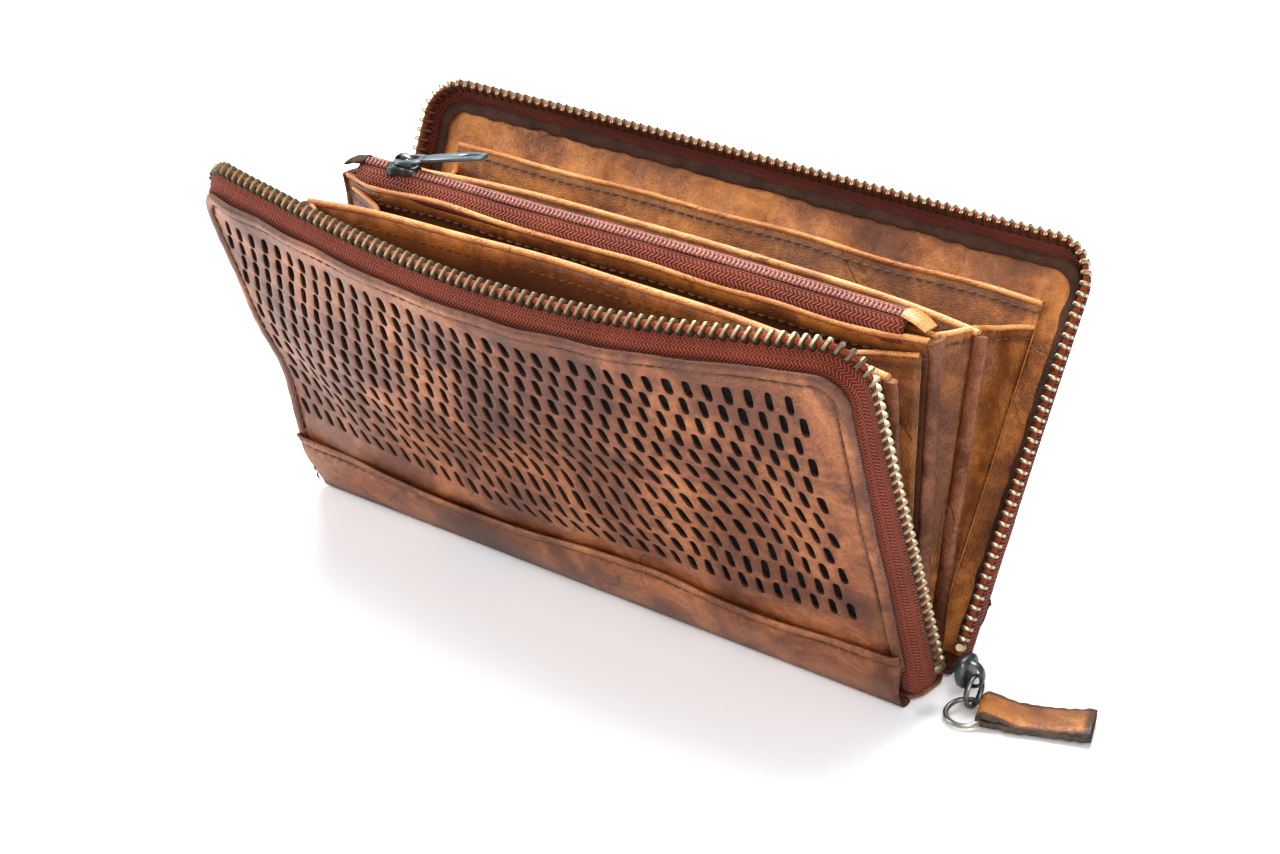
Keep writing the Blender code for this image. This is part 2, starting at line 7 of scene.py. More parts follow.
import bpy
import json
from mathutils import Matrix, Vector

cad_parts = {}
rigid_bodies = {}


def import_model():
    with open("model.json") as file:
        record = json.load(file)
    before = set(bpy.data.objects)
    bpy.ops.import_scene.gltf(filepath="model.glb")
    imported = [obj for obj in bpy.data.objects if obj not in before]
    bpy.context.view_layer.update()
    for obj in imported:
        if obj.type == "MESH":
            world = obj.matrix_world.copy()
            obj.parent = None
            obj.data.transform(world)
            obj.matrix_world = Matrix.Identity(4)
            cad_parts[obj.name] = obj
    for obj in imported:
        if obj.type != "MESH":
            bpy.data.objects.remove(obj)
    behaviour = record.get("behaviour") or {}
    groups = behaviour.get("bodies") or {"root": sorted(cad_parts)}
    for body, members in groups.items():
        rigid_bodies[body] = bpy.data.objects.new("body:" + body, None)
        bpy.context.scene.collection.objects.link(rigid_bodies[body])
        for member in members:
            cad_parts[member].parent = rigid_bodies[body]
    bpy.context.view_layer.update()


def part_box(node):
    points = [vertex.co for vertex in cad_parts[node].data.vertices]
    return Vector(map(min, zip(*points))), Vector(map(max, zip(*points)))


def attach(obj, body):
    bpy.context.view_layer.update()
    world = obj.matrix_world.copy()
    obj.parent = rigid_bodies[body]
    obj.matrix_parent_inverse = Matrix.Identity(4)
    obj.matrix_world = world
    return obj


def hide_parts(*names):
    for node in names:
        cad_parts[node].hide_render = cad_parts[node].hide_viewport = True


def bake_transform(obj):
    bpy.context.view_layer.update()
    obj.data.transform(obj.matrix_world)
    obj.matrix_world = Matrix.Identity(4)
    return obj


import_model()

import json
import logging
import math
from dataclasses import dataclass, field
from enum import Enum

import bmesh
import bpy
import numpy as np
from mathutils import Matrix, Vector

MM = 0.001
HINGE_Y = 9.5 * MM
HINGE_Z = 2.5 * MM
KNUCKLE = 2.5 * MM
COVER_HALF = 95 * MM
COVER_TOP = 98.7 * MM
CORNER = 8 * MM
INNER_HALF = 88 * MM

log = logging.getLogger("wallet")


class End(Enum):
    """The two ends of the wallet, with the sign of x."""

    LEFT = -1
    RIGHT = 1


# ---------------------------------------------------------------- shader tools


class Link:
    """One output socket of a shader tree. Arithmetic on it adds Math nodes."""

    def __init__(self, shader: "Shader", socket: bpy.types.NodeSocket) -> None:
        """Wrap a socket of a shader's tree."""
        self.shader = shader
        self.socket = socket

    def math(self, operation: str, *values: "Link | float") -> "Link":
        """Return a Math node's result on these values."""
        return self.shader.node("ShaderNodeMath", {"operation": operation}, dict(enumerate(values)))

    def __add__(self, other: "Link | float") -> "Link":
        """Return self + other."""
        return self.math("ADD", self, other)

    def __sub__(self, other: "Link | float") -> "Link":
        """Return self - other."""
        return self.math("SUBTRACT", self, other)

    def __rsub__(self, other: float) -> "Link":
        """Return other - self."""
        return self.math("SUBTRACT", other, self)

    def __mul__(self, other: "Link | float") -> "Link":
        """Return self * other."""
        return self.math("MULTIPLY", self, other)

    def __truediv__(self, other: float) -> "Link":
        """Return self / other."""
        return self.math("DIVIDE", self, other)

    __radd__ = __add__
    __rmul__ = __mul__

    def fract(self) -> "Link":
        """Return the part after the point."""
        return self.math("FRACT", self)

    def size(self) -> "Link":
        """Return the absolute value."""
        return self.math("ABSOLUTE", self)

    def wave(self) -> "Link":
        """Return the sine."""
        return self.math("SINE", self)

    def step(self, low: float, high: float) -> "Link":
        """Return a smooth step from 0 at low to 1 at high."""
        inputs = {"Value": self, "From Min": low, "From Max": high}
        return self.shader.node("ShaderNodeMapRange", {"interpolation_type": "SMOOTHSTEP"}, inputs)


class Shader:
    """A material under construction: its node tree and its one surface shader."""

    def __init__(self, name: str) -> None:
        """Make an empty material with a surface shader and an output."""
        self.material = bpy.data.materials.new(name)
        self.material.use_nodes = True
        self.tree = self.material.node_tree
        self.surface = self.tree.nodes["Principled BSDF"]

    def node(self, kind: str, settings: dict | None = None, inputs: dict | None = None,
             output: int | str = 0) -> Link:
        """Add a node.

        Args:
            kind: the node's type.
            settings: properties set first; "stops" are a ramp's (place, colour) pairs.
            inputs: values or links by socket name or number.
            output: the socket that is returned.

        Returns:
            The chosen output.
        """
        made = self.tree.nodes.new(kind)
        for name, value in (settings or {}).items():
            if name == "stops":
                while len(made.color_ramp.elements) < len(value):
                    made.color_ramp.elements.new(0.5)
                for element, (place, colour) in zip(made.color_ramp.elements, value):
                    element.position = place
                    element.color = (*colour, 1.0)
            else:
                setattr(made, name, value)
        for name, value in (inputs or {}).items():
            self.feed(made.inputs[name], value)
        return Link(self, made.outputs[output])

    def feed(self, socket: bpy.types.NodeSocket, value: "Link | float | tuple") -> None:
        """Give a socket a link or a constant."""
        if isinstance(value, Link):
            self.tree.links.new(value.socket, socket)
        elif isinstance(value, tuple) and len(value) == 3 and socket.type == "RGBA":
            socket.default_value = (*value, 1.0)
        else:
            socket.default_value = value

    def objects(self) -> Link:
        """Return the object coordinates."""
        return self.node("ShaderNodeTexCoord", output="Object")

    def uv(self) -> tuple[Link, Link]:
        """Return the piece's own U and V in metres."""
        split = self.node("ShaderNodeSeparateXYZ", inputs={0: self.node("ShaderNodeUVMap")})
        return split, Link(self, split.socket.node.outputs[1])

    def stretched(self, scale: tuple[float, float, float], turn: tuple[float, float, float] = (0, 0, 0)) -> Link:
        """Return object coordinates turned and scaled."""
        return self.node("ShaderNodeMapping", inputs={"Vector": self.objects(), "Rotation": turn, "Scale": scale})

    def noise(self, coordinates: Link, scale: float, detail: float = 3.0, rough: float = 0.55,
              bend: float = 0.0) -> Link:
        """Return a noise texture's value."""
        inputs = {"Vector": coordinates, "Scale": scale, "Detail": detail, "Roughness": rough, "Distortion": bend}
        return self.node("ShaderNodeTexNoise", inputs=inputs)

    def cells(self, coordinates: Link, scale: float) -> Link:
        """Return the distance to the nearest cell's centre."""
        return self.node("ShaderNodeTexVoronoi", inputs={"Vector": coordinates, "Scale": scale})

    def attribute(self, name: str) -> Link:
        """Return a value stored on the mesh."""
        return self.node("ShaderNodeAttribute", {"attribute_name": name}, output="Fac")

    def ramp(self, value: Link, stops: list) -> Link:
        """Return a colour ramp's colour."""
        return self.node("ShaderNodeValToRGB", {"stops": stops}, {"Fac": value})

    def mix(self, share: "Link | float", first: "Link | tuple", second: "Link | tuple",
            kind: str = "MIX") -> Link:
        """Return a mix of two colours."""
        inputs = {0: share, 6: first, 7: second}
        return self.node("ShaderNodeMix", {"data_type": "RGBA", "blend_type": kind}, inputs, output=2)

    def bump(self, height: Link, distance: float, strength: float = 1.0, below: Link | None = None) -> Link:
        """Return a bumped normal, laid over another one."""
        inputs = {"Height": height, "Distance": distance, "Strength": strength}
        if below:
            inputs["Normal"] = below
        return self.node("ShaderNodeBump", inputs=inputs)

    def finish(self, **sockets: "Link | float | tuple") -> bpy.types.Material:
        """Set the surface's sockets, named with _ for a space, and return the material."""
        for name, value in sockets.items():
            self.feed(self.surface.inputs[name.replace("_", " ")], value)
        return self.material


# ---------------------------------------------------------------- finishes


@dataclass(frozen=True)
class LeatherFinish:
    """Waxed pull-up leather: mottled colour, pores, creases darkened with painted shade, and darker places from a
    per-point mask of real wear and painted shade.
    """

    name: str
    dark: tuple
    body: tuple
    light: tuple
    glow: tuple
    worn_and_shaded: tuple
    patch_scale: float = 42.0
    crease_scale: float = 90.0
    crease_height: float = 0.00042
    grain_height: float = 0.00016
    roughness: float = 0.44
    shine: float = 0.10
    gloss: float = 0.42

    def build(self) -> bpy.types.Material:
        """Return the material: ramps over broad and fine noise, with pores and creases as bump."""
        shader = Shader(self.name)
        place = shader.objects()
        broad = shader.noise(place, self.patch_scale, 5, 0.6, 0.7)
        fine = shader.noise(place, self.patch_scale * 9, 6, 0.65)
        speck = shader.noise(place, 2600, 2)
        tone = (broad * 0.68 + fine * 0.26 + speck * 0.10).step(0.33, 0.74)
        colour = shader.ramp(tone, [(0.0, self.dark), (0.38, self.body), (0.68, self.light), (1.0, self.glow)])
        crease = shader.noise(shader.stretched((1, 1.9, 0.8), (0.3, 0.4, 0.5)), self.crease_scale, 3, 0.5, 0.5)
        fold = (crease - 0.5).size().step(0.0, 0.035)
        where = shader.noise(place, self.patch_scale * 1.7, 2).step(0.50, 0.66)
        fold = 1 - (1 - fold) * where
        # Painted shade: crease lines are darkened in colour, as if shade lay in them.
        colour = shader.mix((1 - fold) * 0.30, colour, self.worn_and_shaded)
        # The per-point mask darkens real worn edges and also paints shade into grooves, corners and pocket depths.
        colour = shader.mix(shader.attribute("wear"), colour, self.worn_and_shaded)
        pores = shader.cells(place, 1700).step(0.0, 0.55)
        colour = shader.mix((1 - pores) * 0.35, colour, self.worn_and_shaded)
        normal = shader.bump(fold * 0.5 + fine * 0.35, self.crease_height)
        normal = shader.bump(pores + speck * 0.5, self.grain_height, 0.8, normal)
        rough = self.roughness + fine * 0.22 - broad * 0.10
        return shader.finish(Base_Color=colour, Roughness=rough, Normal=normal, Coat_Weight=self.shine,
                             Coat_Roughness=0.32, Specular_IOR_Level=self.gloss)


@dataclass(frozen=True)
class RawEdgeFinish:
    """Cut leather edge: rough fibres, dark brown."""

    name: str
    dark: tuple
    light: tuple

    def build(self) -> bpy.types.Material:
        """Return the material: fibre noise for colour and bump."""
        shader = Shader(self.name)
        place = shader.objects()
        fibre = shader.noise(shader.stretched((1, 3, 3)), 900, 5, 0.7, 0.5)
        broad = shader.noise(place, 160, 4)
        colour = shader.ramp((fibre * 0.6 + broad * 0.4).step(0.3, 0.7), [(0.0, self.dark), (1.0, self.light)])
        normal = shader.bump(fibre, 0.0006)
        return shader.finish(Base_Color=colour, Roughness=0.72 + fibre * 0.2, Normal=normal)


@dataclass(frozen=True)
class TapeFinish:
    """Woven zip tape: a herringbone of yarns that follows the tape's own length and width."""

    name: str
    dark: tuple
    light: tuple
    rib: float
    yarn: float

    def build(self) -> bpy.types.Material:
        """Return the material: yarn = sine of (length + zigzag of width), between rows of ribs."""
        shader = Shader(self.name)
        along, across = shader.uv()
        zigzag = ((across / self.rib).fract() - 0.5).size() * self.rib
        yarn = ((along + zigzag) * (2 * math.pi / self.yarn)).wave() * 0.5 + 0.5
        rib = ((across / (self.rib / 2)).fract() - 0.5).size() * 2
        fuzz = shader.noise(shader.objects(), 1500, 4, 0.7)
        broad = shader.noise(shader.objects(), 70, 3)
        height = yarn * (1 - rib * 0.5) + fuzz * 0.35
        colour = shader.mix((height * 0.75 + broad * 0.4).step(0.25, 1.0), self.dark, self.light)
        normal = shader.bump(height, 0.00045)
        return shader.finish(Base_Color=colour, Roughness=0.78 + fuzz * 0.15, Normal=normal,
                             Sheen_Weight=0.08, Sheen_Roughness=0.4, Specular_IOR_Level=0.3)


@dataclass(frozen=True)
class MetalFinish:
    """Plated metal: rubbed bright on its high places and dull between."""

    name: str
    dull: tuple
    bright: tuple
    roughness: float
    scale: float = 500.0

    def build(self) -> bpy.types.Material:
        """Return the material: wear attribute plus noise between the dull and bright plating."""
        shader = Shader(self.name)
        place = shader.objects()
        scratch = shader.noise(shader.stretched((1, 4, 1), (0.2, 0.5, 0.3)), self.scale * 2, 5, 0.7)
        patch = shader.noise(place, self.scale, 4, 0.6)
        rubbed = (shader.attribute("wear") * 0.8 + patch * 0.5 + scratch * 0.2).step(0.25, 0.95)
        colour = shader.mix(rubbed, self.dull, self.bright)
        normal = shader.bump(scratch, 0.00005, 0.6)
        return shader.finish(Base_Color=colour, Metallic=0.95, Normal=normal,
                             Roughness=self.roughness + (1 - rubbed) * 0.25 + scratch * 0.08)


@dataclass(frozen=True)
class ThreadFinish:
    """Twisted sewing thread, or a moulded nylon coil with a soft shine."""

    name: str
    dark: tuple
    light: tuple
    roughness: float = 0.6
    scale: float = 1400.0

    def build(self) -> bpy.types.Material:
        """Return the material: fine noise between two tones."""
        shader = Shader(self.name)
        place = shader.objects()
        twist = shader.noise(shader.stretched((1, 1, 2)), self.scale, 3)
        broad = shader.noise(place, 60, 2)
        colour = shader.mix((twist * 0.6 + broad * 0.5).step(0.3, 0.8), self.dark, self.light)
        return shader.finish(Base_Color=colour, Roughness=self.roughness + twist * 0.15,
                             Normal=shader.bump(twist, 0.0001))


OUTER_LEATHER = LeatherFinish("outer_leather", (0.058, 0.018, 0.008), (0.150, 0.048, 0.018), (0.27, 0.096, 0.034),
                              (0.42, 0.172, 0.070), (0.040, 0.012, 0.006))
INNER_LEATHER = LeatherFinish("inner_leather", (0.085, 0.027, 0.008), (0.21, 0.070, 0.015), (0.37, 0.138, 0.028),
                              (0.50, 0.210, 0.052), (0.050, 0.016, 0.006), crease_scale=60.0, patch_scale=34.0)
HEM_LEATHER = LeatherFinish("hem_leather", (0.30, 0.105, 0.028), (0.47, 0.185, 0.052), (0.60, 0.270, 0.090),
                            (0.70, 0.360, 0.150), (0.085, 0.028, 0.010), roughness=0.36, shine=0.25)
DARK_EDGE = LeatherFinish("dark_edge_leather", (0.040, 0.013, 0.007), (0.105, 0.036, 0.018), (0.20, 0.078, 0.040),
                          (0.28, 0.120, 0.062), (0.018, 0.007, 0.004), roughness=0.50, shine=0.03, gloss=0.2)
RAW_EDGE = RawEdgeFinish("raw_edge", (0.018, 0.007, 0.004), (0.105, 0.040, 0.018))
CORE_EDGE = RawEdgeFinish("raw_core", (0.030, 0.022, 0.016), (0.14, 0.105, 0.075))
BACKING = RawEdgeFinish("backing_cloth", (0.004, 0.003, 0.003), (0.012, 0.009, 0.008))
COVER_TAPE = TapeFinish("cover_zip_tape", (0.050, 0.007, 0.003), (0.30, 0.058, 0.022), 2.4 * MM, 0.95 * MM)
COIN_TAPE = TapeFinish("coin_zip_tape", (0.030, 0.005, 0.003), (0.29, 0.060, 0.024), 2.4 * MM, 1.2 * MM)
TEETH_BRASS = MetalFinish("teeth_brass", (0.030, 0.022, 0.012), (0.29, 0.235, 0.155), 0.32)
GUNMETAL = MetalFinish("gunmetal", (0.014, 0.016, 0.017), (0.13, 0.140, 0.140), 0.28)
WIRE_STEEL = MetalFinish("wire_steel", (0.040, 0.038, 0.034), (0.34, 0.32, 0.285), 0.24)
PULLER_STEEL = MetalFinish("puller_steel", (0.055, 0.072, 0.078), (0.25, 0.30, 0.325), 0.30)
SEWING_THREAD = ThreadFinish("sewing_thread", (0.035, 0.012, 0.004), (0.20, 0.080, 0.024))
COIL_NYLON = ThreadFinish("coil_nylon", (0.12, 0.032, 0.022), (0.36, 0.145, 0.110), 0.36)


class Library:
    """The built materials, each made once."""

    def __init__(self) -> None:
        """Start with no materials."""
        self.made: dict[str, bpy.types.Material] = {}

    def __call__(self, finish: object) -> bpy.types.Material:
        """Return a finish's material."""
        if finish.name not in self.made:
            self.made[finish.name] = finish.build()
        return self.made[finish.name]


MATERIALS = Library()


# ---------------------------------------------------------------- mesh tools


def smooth_step(value: np.ndarray, low: float, high: float) -> np.ndarray:
    """Return 0 below low, 1 above high and 3t^2 - 2t^3 between."""
    t = np.clip((value - low) / (high - low), 0.0, 1.0)
    return t * t * (3 - 2 * t)


def unit(vectors: np.ndarray) -> np.ndarray:
    """Return vectors of length one."""
    return vectors / np.maximum(np.linalg.norm(vectors, axis=-1, keepdims=True), 1e-12)


def ripple(x: np.ndarray, v: np.ndarray, seed: int, size: float, count: int = 7) -> np.ndarray:
    """Return a smooth random field within about -1 to 1.

    The sum of plane waves whose directions and phases are drawn from a seed, each about one size long.
    """
    draw = np.random.default_rng(seed)
    angle, phase = draw.uniform(0, 2 * math.pi, count), draw.uniform(0, 2 * math.pi, count)
    length = size * draw.uniform(0.7, 1.6, count)
    k = 2 * math.pi / length
    terms = np.sin(x[..., None] * (k * np.cos(angle)) + v[..., None] * (k * np.sin(angle)) + phase)
    return terms.sum(axis=-1) / math.sqrt(count) / 1.2


def grid_faces(rows: int, columns: int, wrap_rows: bool = False, wrap_columns: bool = False) -> np.ndarray:
    """Return the quads of a grid whose points run row by row, closed round either way."""
    i = np.arange(rows if wrap_rows else rows - 1)[:, None]
    j = np.arange(columns if wrap_columns else columns - 1)[None, :]
    below, beside = (i + 1) % rows, (j + 1) % columns
    quads = (i * columns + j, i * columns + beside, below * columns + beside, below * columns + j)
    return np.stack(np.broadcast_arrays(*quads), axis=-1).reshape(-1, 4)


def add_piece(name: str, points: np.ndarray, faces: list | np.ndarray, finishes: list, *, uv: np.ndarray | None = None,
              wear: np.ndarray | float = 0.0, closed: bool = False, facing: tuple | None = None,
              thickness: float = 0.0, bevel: float = 0.0, sharp: float = 50.0) -> bpy.types.Object:
    """Make one object from points and faces.

    Args:
        name: the piece's name.
        points: places, any shape ending in 3.
        faces: lists of point numbers.
        finishes: the surface's finish, then the cut edge's where a sheet has one.
        uv: length and width in metres at each point.
        wear: how much each point is darkened, 0 to 1, by real wear and by painted shade.
        closed: whether the surface is closed, so that its faces are turned outward.
        facing: a direction that an open sheet's outer side looks along.
        thickness: the sheet's thickness, grown behind its outer side.
        bevel: the width of a rounded edge.
        sharp: the angle past which an edge shows sharp.

    Returns:
        The object.
    """
    points = np.asarray(points, float).reshape(-1, 3)
    mesh = bpy.data.meshes.new(name)
    mesh.from_pydata(points.tolist(), [], [list(map(int, f)) for f in faces])
    if closed:
        shape = bmesh.new()
        shape.from_mesh(mesh)
        bmesh.ops.recalc_face_normals(shape, faces=shape.faces)
        shape.to_mesh(mesh)
        shape.free()
    if facing is not None:
        normals = np.zeros(len(mesh.polygons) * 3)
        mesh.polygons.foreach_get("normal", normals)
        if (normals.reshape(-1, 3) @ np.array(facing)).sum() < 0:
            mesh.flip_normals()
    # One mask per point that holds real wear and painted shade alike.
    worn_and_shaded = mesh.attributes.new("wear", "FLOAT", "POINT")
    worn_and_shaded.data.foreach_set("value", np.broadcast_to(np.asarray(wear, np.float32).ravel(), len(points)).copy())
    if uv is not None:
        corner = np.zeros(len(mesh.loops), np.int32)
        mesh.loops.foreach_get("vertex_index", corner)
        layer = mesh.uv_layers.new(name="UVMap")
        layer.data.foreach_set("uv", np.asarray(uv, float).reshape(-1, 2)[corner].ravel())
    for finish in finishes:
        mesh.materials.append(MATERIALS(finish))
    mesh.shade_smooth()
    if not thickness and not bevel:
        mesh.set_sharp_from_angle(angle=math.radians(sharp))
    made = bpy.data.objects.new(name, mesh)
    bpy.context.scene.collection.objects.link(made)
    if thickness:
        wall = made.modifiers.new("wall", "SOLIDIFY")
        wall.thickness = thickness
        wall.offset = -1
        wall.material_offset_rim = len(finishes) - 1
    if bevel:
        edge = made.modifiers.new("rounding", "BEVEL")
        edge.width = bevel
        edge.segments = 2
        edge.limit_method = "ANGLE"
        edge.angle_limit = math.radians(35)
    return made


def sweep(rings: np.ndarray, loop: bool = False) -> tuple[np.ndarray, list]:
    """Join equal closed rings of points into a body; its two ends are capped unless it is a loop."""
    count, size = rings.shape[:2]
    faces = grid_faces(count, size, loop, True).tolist()
    if not loop:
        faces.append(list(range(size)))
        faces.append(list(range((count - 1) * size, count * size)))
    return rings.reshape(-1, 3), faces


def frames_along(path: np.ndarray, up: np.ndarray) -> tuple[np.ndarray, np.ndarray, np.ndarray]:
    """Return a path's directions, its side directions and its true up directions."""
    ahead = unit(np.gradient(path, axis=0))
    side = unit(np.cross(ahead, up))
    return ahead, side, np.cross(side, ahead)


def tube(path: np.ndarray, up: np.ndarray, half_side: np.ndarray | float, half_up: np.ndarray | float,
         sides: int = 10, loop: bool = False) -> tuple[np.ndarray, list]:
    """Carry an ellipse along a path: centre + side * a * cos + up * b * sin."""
    if loop:
        ahead = unit(np.roll(path, -1, axis=0) - np.roll(path, 1, axis=0))
        side = unit(np.cross(ahead, up))
        top = np.cross(side, ahead)
    else:
        ahead, side, top = frames_along(path, up)
    turn = 2 * math.pi * np.arange(sides) / sides
    a = np.broadcast_to(half_side, len(path))[:, None, None]
    b = np.broadcast_to(half_up, len(path))[:, None, None]
    rings = (path[:, None, :] + side[:, None, :] * a * np.cos(turn)[None, :, None]
             + top[:, None, :] * b * np.sin(turn)[None, :, None])
    return sweep(rings, loop)


def copies(points: np.ndarray, faces: list, centres: np.ndarray, axes: np.ndarray) -> tuple[np.ndarray, list]:
    """Repeat a small shape at many centres, its x, y and z laid along each centre's three axes."""
    placed = centres[:, None, :] + np.einsum("pk,nkc->npc", points, axes)
    step = len(points)
    repeated = [[k + n * step for k in face] for n in range(len(centres)) for face in faces]
    return placed.reshape(-1, 3), repeated


def pill(length: float, half_side: float, half_up: float, rings: tuple = (-1, -0.72, 0, 0.72, 1), sides: int = 6,
         end: float = 0.4) -> tuple[np.ndarray, list]:
    """Return a small rounded bar along x: rings that shrink towards both ends."""
    place = np.array(rings)
    size = 1 - (1 - end) * np.abs(place) ** 3
    turn = 2 * math.pi * (np.arange(sides) + 0.5) / sides
    ring = np.stack((np.repeat(place[:, None] * length / 2, sides, 1), size[:, None] * half_side * np.cos(turn),
                     size[:, None] * half_up * np.sin(turn)), axis=-1)
    return sweep(ring)


def along(path: np.ndarray, pitch: float, start: float = 0.5) -> tuple[np.ndarray, np.ndarray]:
    """Return evenly spaced places along a path, and how far along each point's index it is."""
    steps = np.linalg.norm(np.diff(path, axis=0), axis=1)
    run = np.concatenate(([0.0], np.cumsum(steps)))
    places = np.arange(start * pitch, run[-1], pitch)
    index = np.interp(places, run, np.arange(len(path)))
    return np.stack([np.interp(index, np.arange(len(path)), path[:, k]) for k in range(3)], axis=1), index


@dataclass
class Seams:
    """Thread collected along seams, sewn as one piece at the end."""

    name: str
    pitch: float = 2.9 * MM
    length: float = 2.3 * MM
    radius: float = 0.30 * MM
    points: list = field(default_factory=list)
    faces: list = field(default_factory=list)

    def sew(self, path: np.ndarray, normal: np.ndarray, slant: float = 0.0, pitch: float | None = None) -> None:
        """Add one row of stitches.

        Args:
            path: points along the seam.
            normal: the surface's outward direction at each point, or one for all.
            slant: turn of each stitch out of the seam's line, in degrees, to and fro.
            pitch: the spacing where it isn't the usual one.
        """
        normals = np.broadcast_to(normal, path.shape)
        centres, index = along(path, pitch or self.pitch)
        ahead = np.stack([np.interp(index, np.arange(len(path)), np.gradient(path[:, k])) for k in range(3)], 1)
        up = np.stack([np.interp(index, np.arange(len(path)), normals[:, k]) for k in range(3)], 1)
        ahead, up = unit(ahead), unit(up)
        side = unit(np.cross(up, ahead))
        turn = np.radians(slant) * np.where(np.arange(len(centres)) % 2, 1, -1)[:, None]
        aimed = ahead * np.cos(turn) + side * np.sin(turn)
        axes = np.stack((aimed, np.cross(np.cross(aimed, side), aimed), up), axis=1)
        axes[:, 1] = unit(np.cross(up, aimed))
        shape, faces = pill(self.length, self.radius, self.radius)
        shape[:, 2] -= np.abs(shape[:, 0] / (self.length / 2)) ** 4 * self.radius * 1.4
        placed, repeated = copies(shape, faces, centres + up * self.radius * 0.35, axes)
        offset = sum(len(p) for p in self.points)
        self.points.append(placed)
        self.faces.extend([k + offset for k in face] for face in repeated)

    def finish(self) -> bpy.types.Object:
        """Return the thread as one object."""
        return add_piece(self.name, np.concatenate(self.points), self.faces, [SEWING_THREAD], closed=True)


# ---------------------------------------------------------------- covers


@dataclass(frozen=True)
class Leaf:
    """A panel that leans outward from a hinge line, more in its middle than at its ends.

    lean(x) = left + (right - left) * (t + 1) / 2 + bow * (1 - |t|^power), where t = x / half length.
    """

    inward: int
    left: float
    right: float
    bow: float
    power: float
    dents: tuple = ()

    def lean(self, x: np.ndarray) -> np.ndarray:
        """Return the lean in radians at x."""
        t = np.clip(x / COVER_HALF, -1.05, 1.05)
        degrees = self.left + (self.right - self.left) * (t + 1) / 2 + self.bow * (1 - np.abs(t) ** self.power)
        return np.radians(degrees)

    def dent(self, x: np.ndarray, v: np.ndarray) -> np.ndarray:
        """Return how far the surface stands outward: a sum of height * exp(-dx^2 - dv^2) humps."""
        total = np.zeros(np.broadcast(x, v).shape)
        for x0, v0, wide, high, turn, height in self.dents:
            c, s = math.cos(math.radians(turn)), math.sin(math.radians(turn))
            dx, dv = x - x0 * MM, v - v0 * MM
            total += height * MM * np.exp(-((dx * c + dv * s) / (wide * MM)) ** 2
                                          - ((dv * c - dx * s) / (high * MM)) ** 2)
        return total

    def world(self, x: np.ndarray, v: np.ndarray, w: np.ndarray) -> np.ndarray:
        """Return world points: a turn of (v, w) about the hinge line by the lean at x."""
        x, v, w = np.broadcast_arrays(np.asarray(x, float), np.asarray(v, float), np.asarray(w, float))
        angle = self.lean(x)
        depth = KNUCKLE - w + self.dent(x, v)
        out = depth * np.cos(angle) + v * np.sin(angle)
        up = v * np.cos(angle) - depth * np.sin(angle)
        return np.stack((x, -self.inward * (HINGE_Y + out), HINGE_Z + up), axis=-1)

    def outward(self, x: np.ndarray) -> np.ndarray:
        """Return the outward direction at x."""
        angle = self.lean(np.asarray(x, float))
        return np.stack((np.zeros_like(angle), -self.inward * np.cos(angle), -np.sin(angle)), axis=-1)


@dataclass(frozen=True)
class Rim:
    """A round-cornered outline, open at the bottom: up the right side, over the top, down the left."""

    half: float
    top: float
    radius: float
    bottom: float
    side_steps: int = 46
    arc_steps: int = 16
    top_steps: int = 100

    def line(self, inset: float | np.ndarray = 0.0) -> tuple[np.ndarray, np.ndarray]:
        """Return x and v of the outline moved inward by an inset, with the same steps for every inset."""
        radius = self.radius - inset
        up = np.linspace(self.bottom, self.top - self.radius, self.side_steps, endpoint=False)
        turn = np.linspace(0, math.pi / 2, self.arc_steps, endpoint=False)
        across = np.linspace(self.half - self.radius, 0, self.top_steps // 2 + 1)
        x = np.concatenate((np.full(len(up), self.half - inset), self.half - self.radius + radius * np.cos(turn), across))
        v = np.concatenate((up, self.top - self.radius + radius * np.sin(turn), np.full(len(across), self.top - inset)))
        return np.concatenate((x, -x[-2::-1])), np.concatenate((v, v[-2::-1]))


FRONT_DENTS = ((-90, 38, 15, 12, 0, -2.6), (-62, 62, 24, 16, 25, 1.3), (2, 31, 34, 8, 12, 1.7), (8, 47, 30, 8, 15, -1.1),
               (62, 50, 13, 17, -20, -2.0), (84, 66, 12, 22, 0, 1.0), (46, 98, 16, 16, 0, 0.9), (22, 96, 18, 18, 0, 0.5),
               (-40, 20, 30, 8, 0, 0.8), (60, 28, 18, 8, 0, 1.0), (-88, 92, 16, 18, 0, 1.2))
BACK_DENTS = ((-50, 55, 22, 26, 0, 1.4), (30, 70, 16, 30, 8, -1.2), (70, 40, 16, 26, -10, 1.0), (-10, 90, 30, 14, 0, -0.8))


def seam_height(x: np.ndarray) -> np.ndarray:
    """Return the height of the band's wavy top edge: a low line with two rises."""
    return (16.4 + 3.9 * np.exp(-((x / MM - 18) / 30) ** 2) + 1.0 * np.exp(-((x / MM + 52) / 20) ** 2)
            + 0.9 * (np.abs(x / MM) / 95) ** 6) * MM


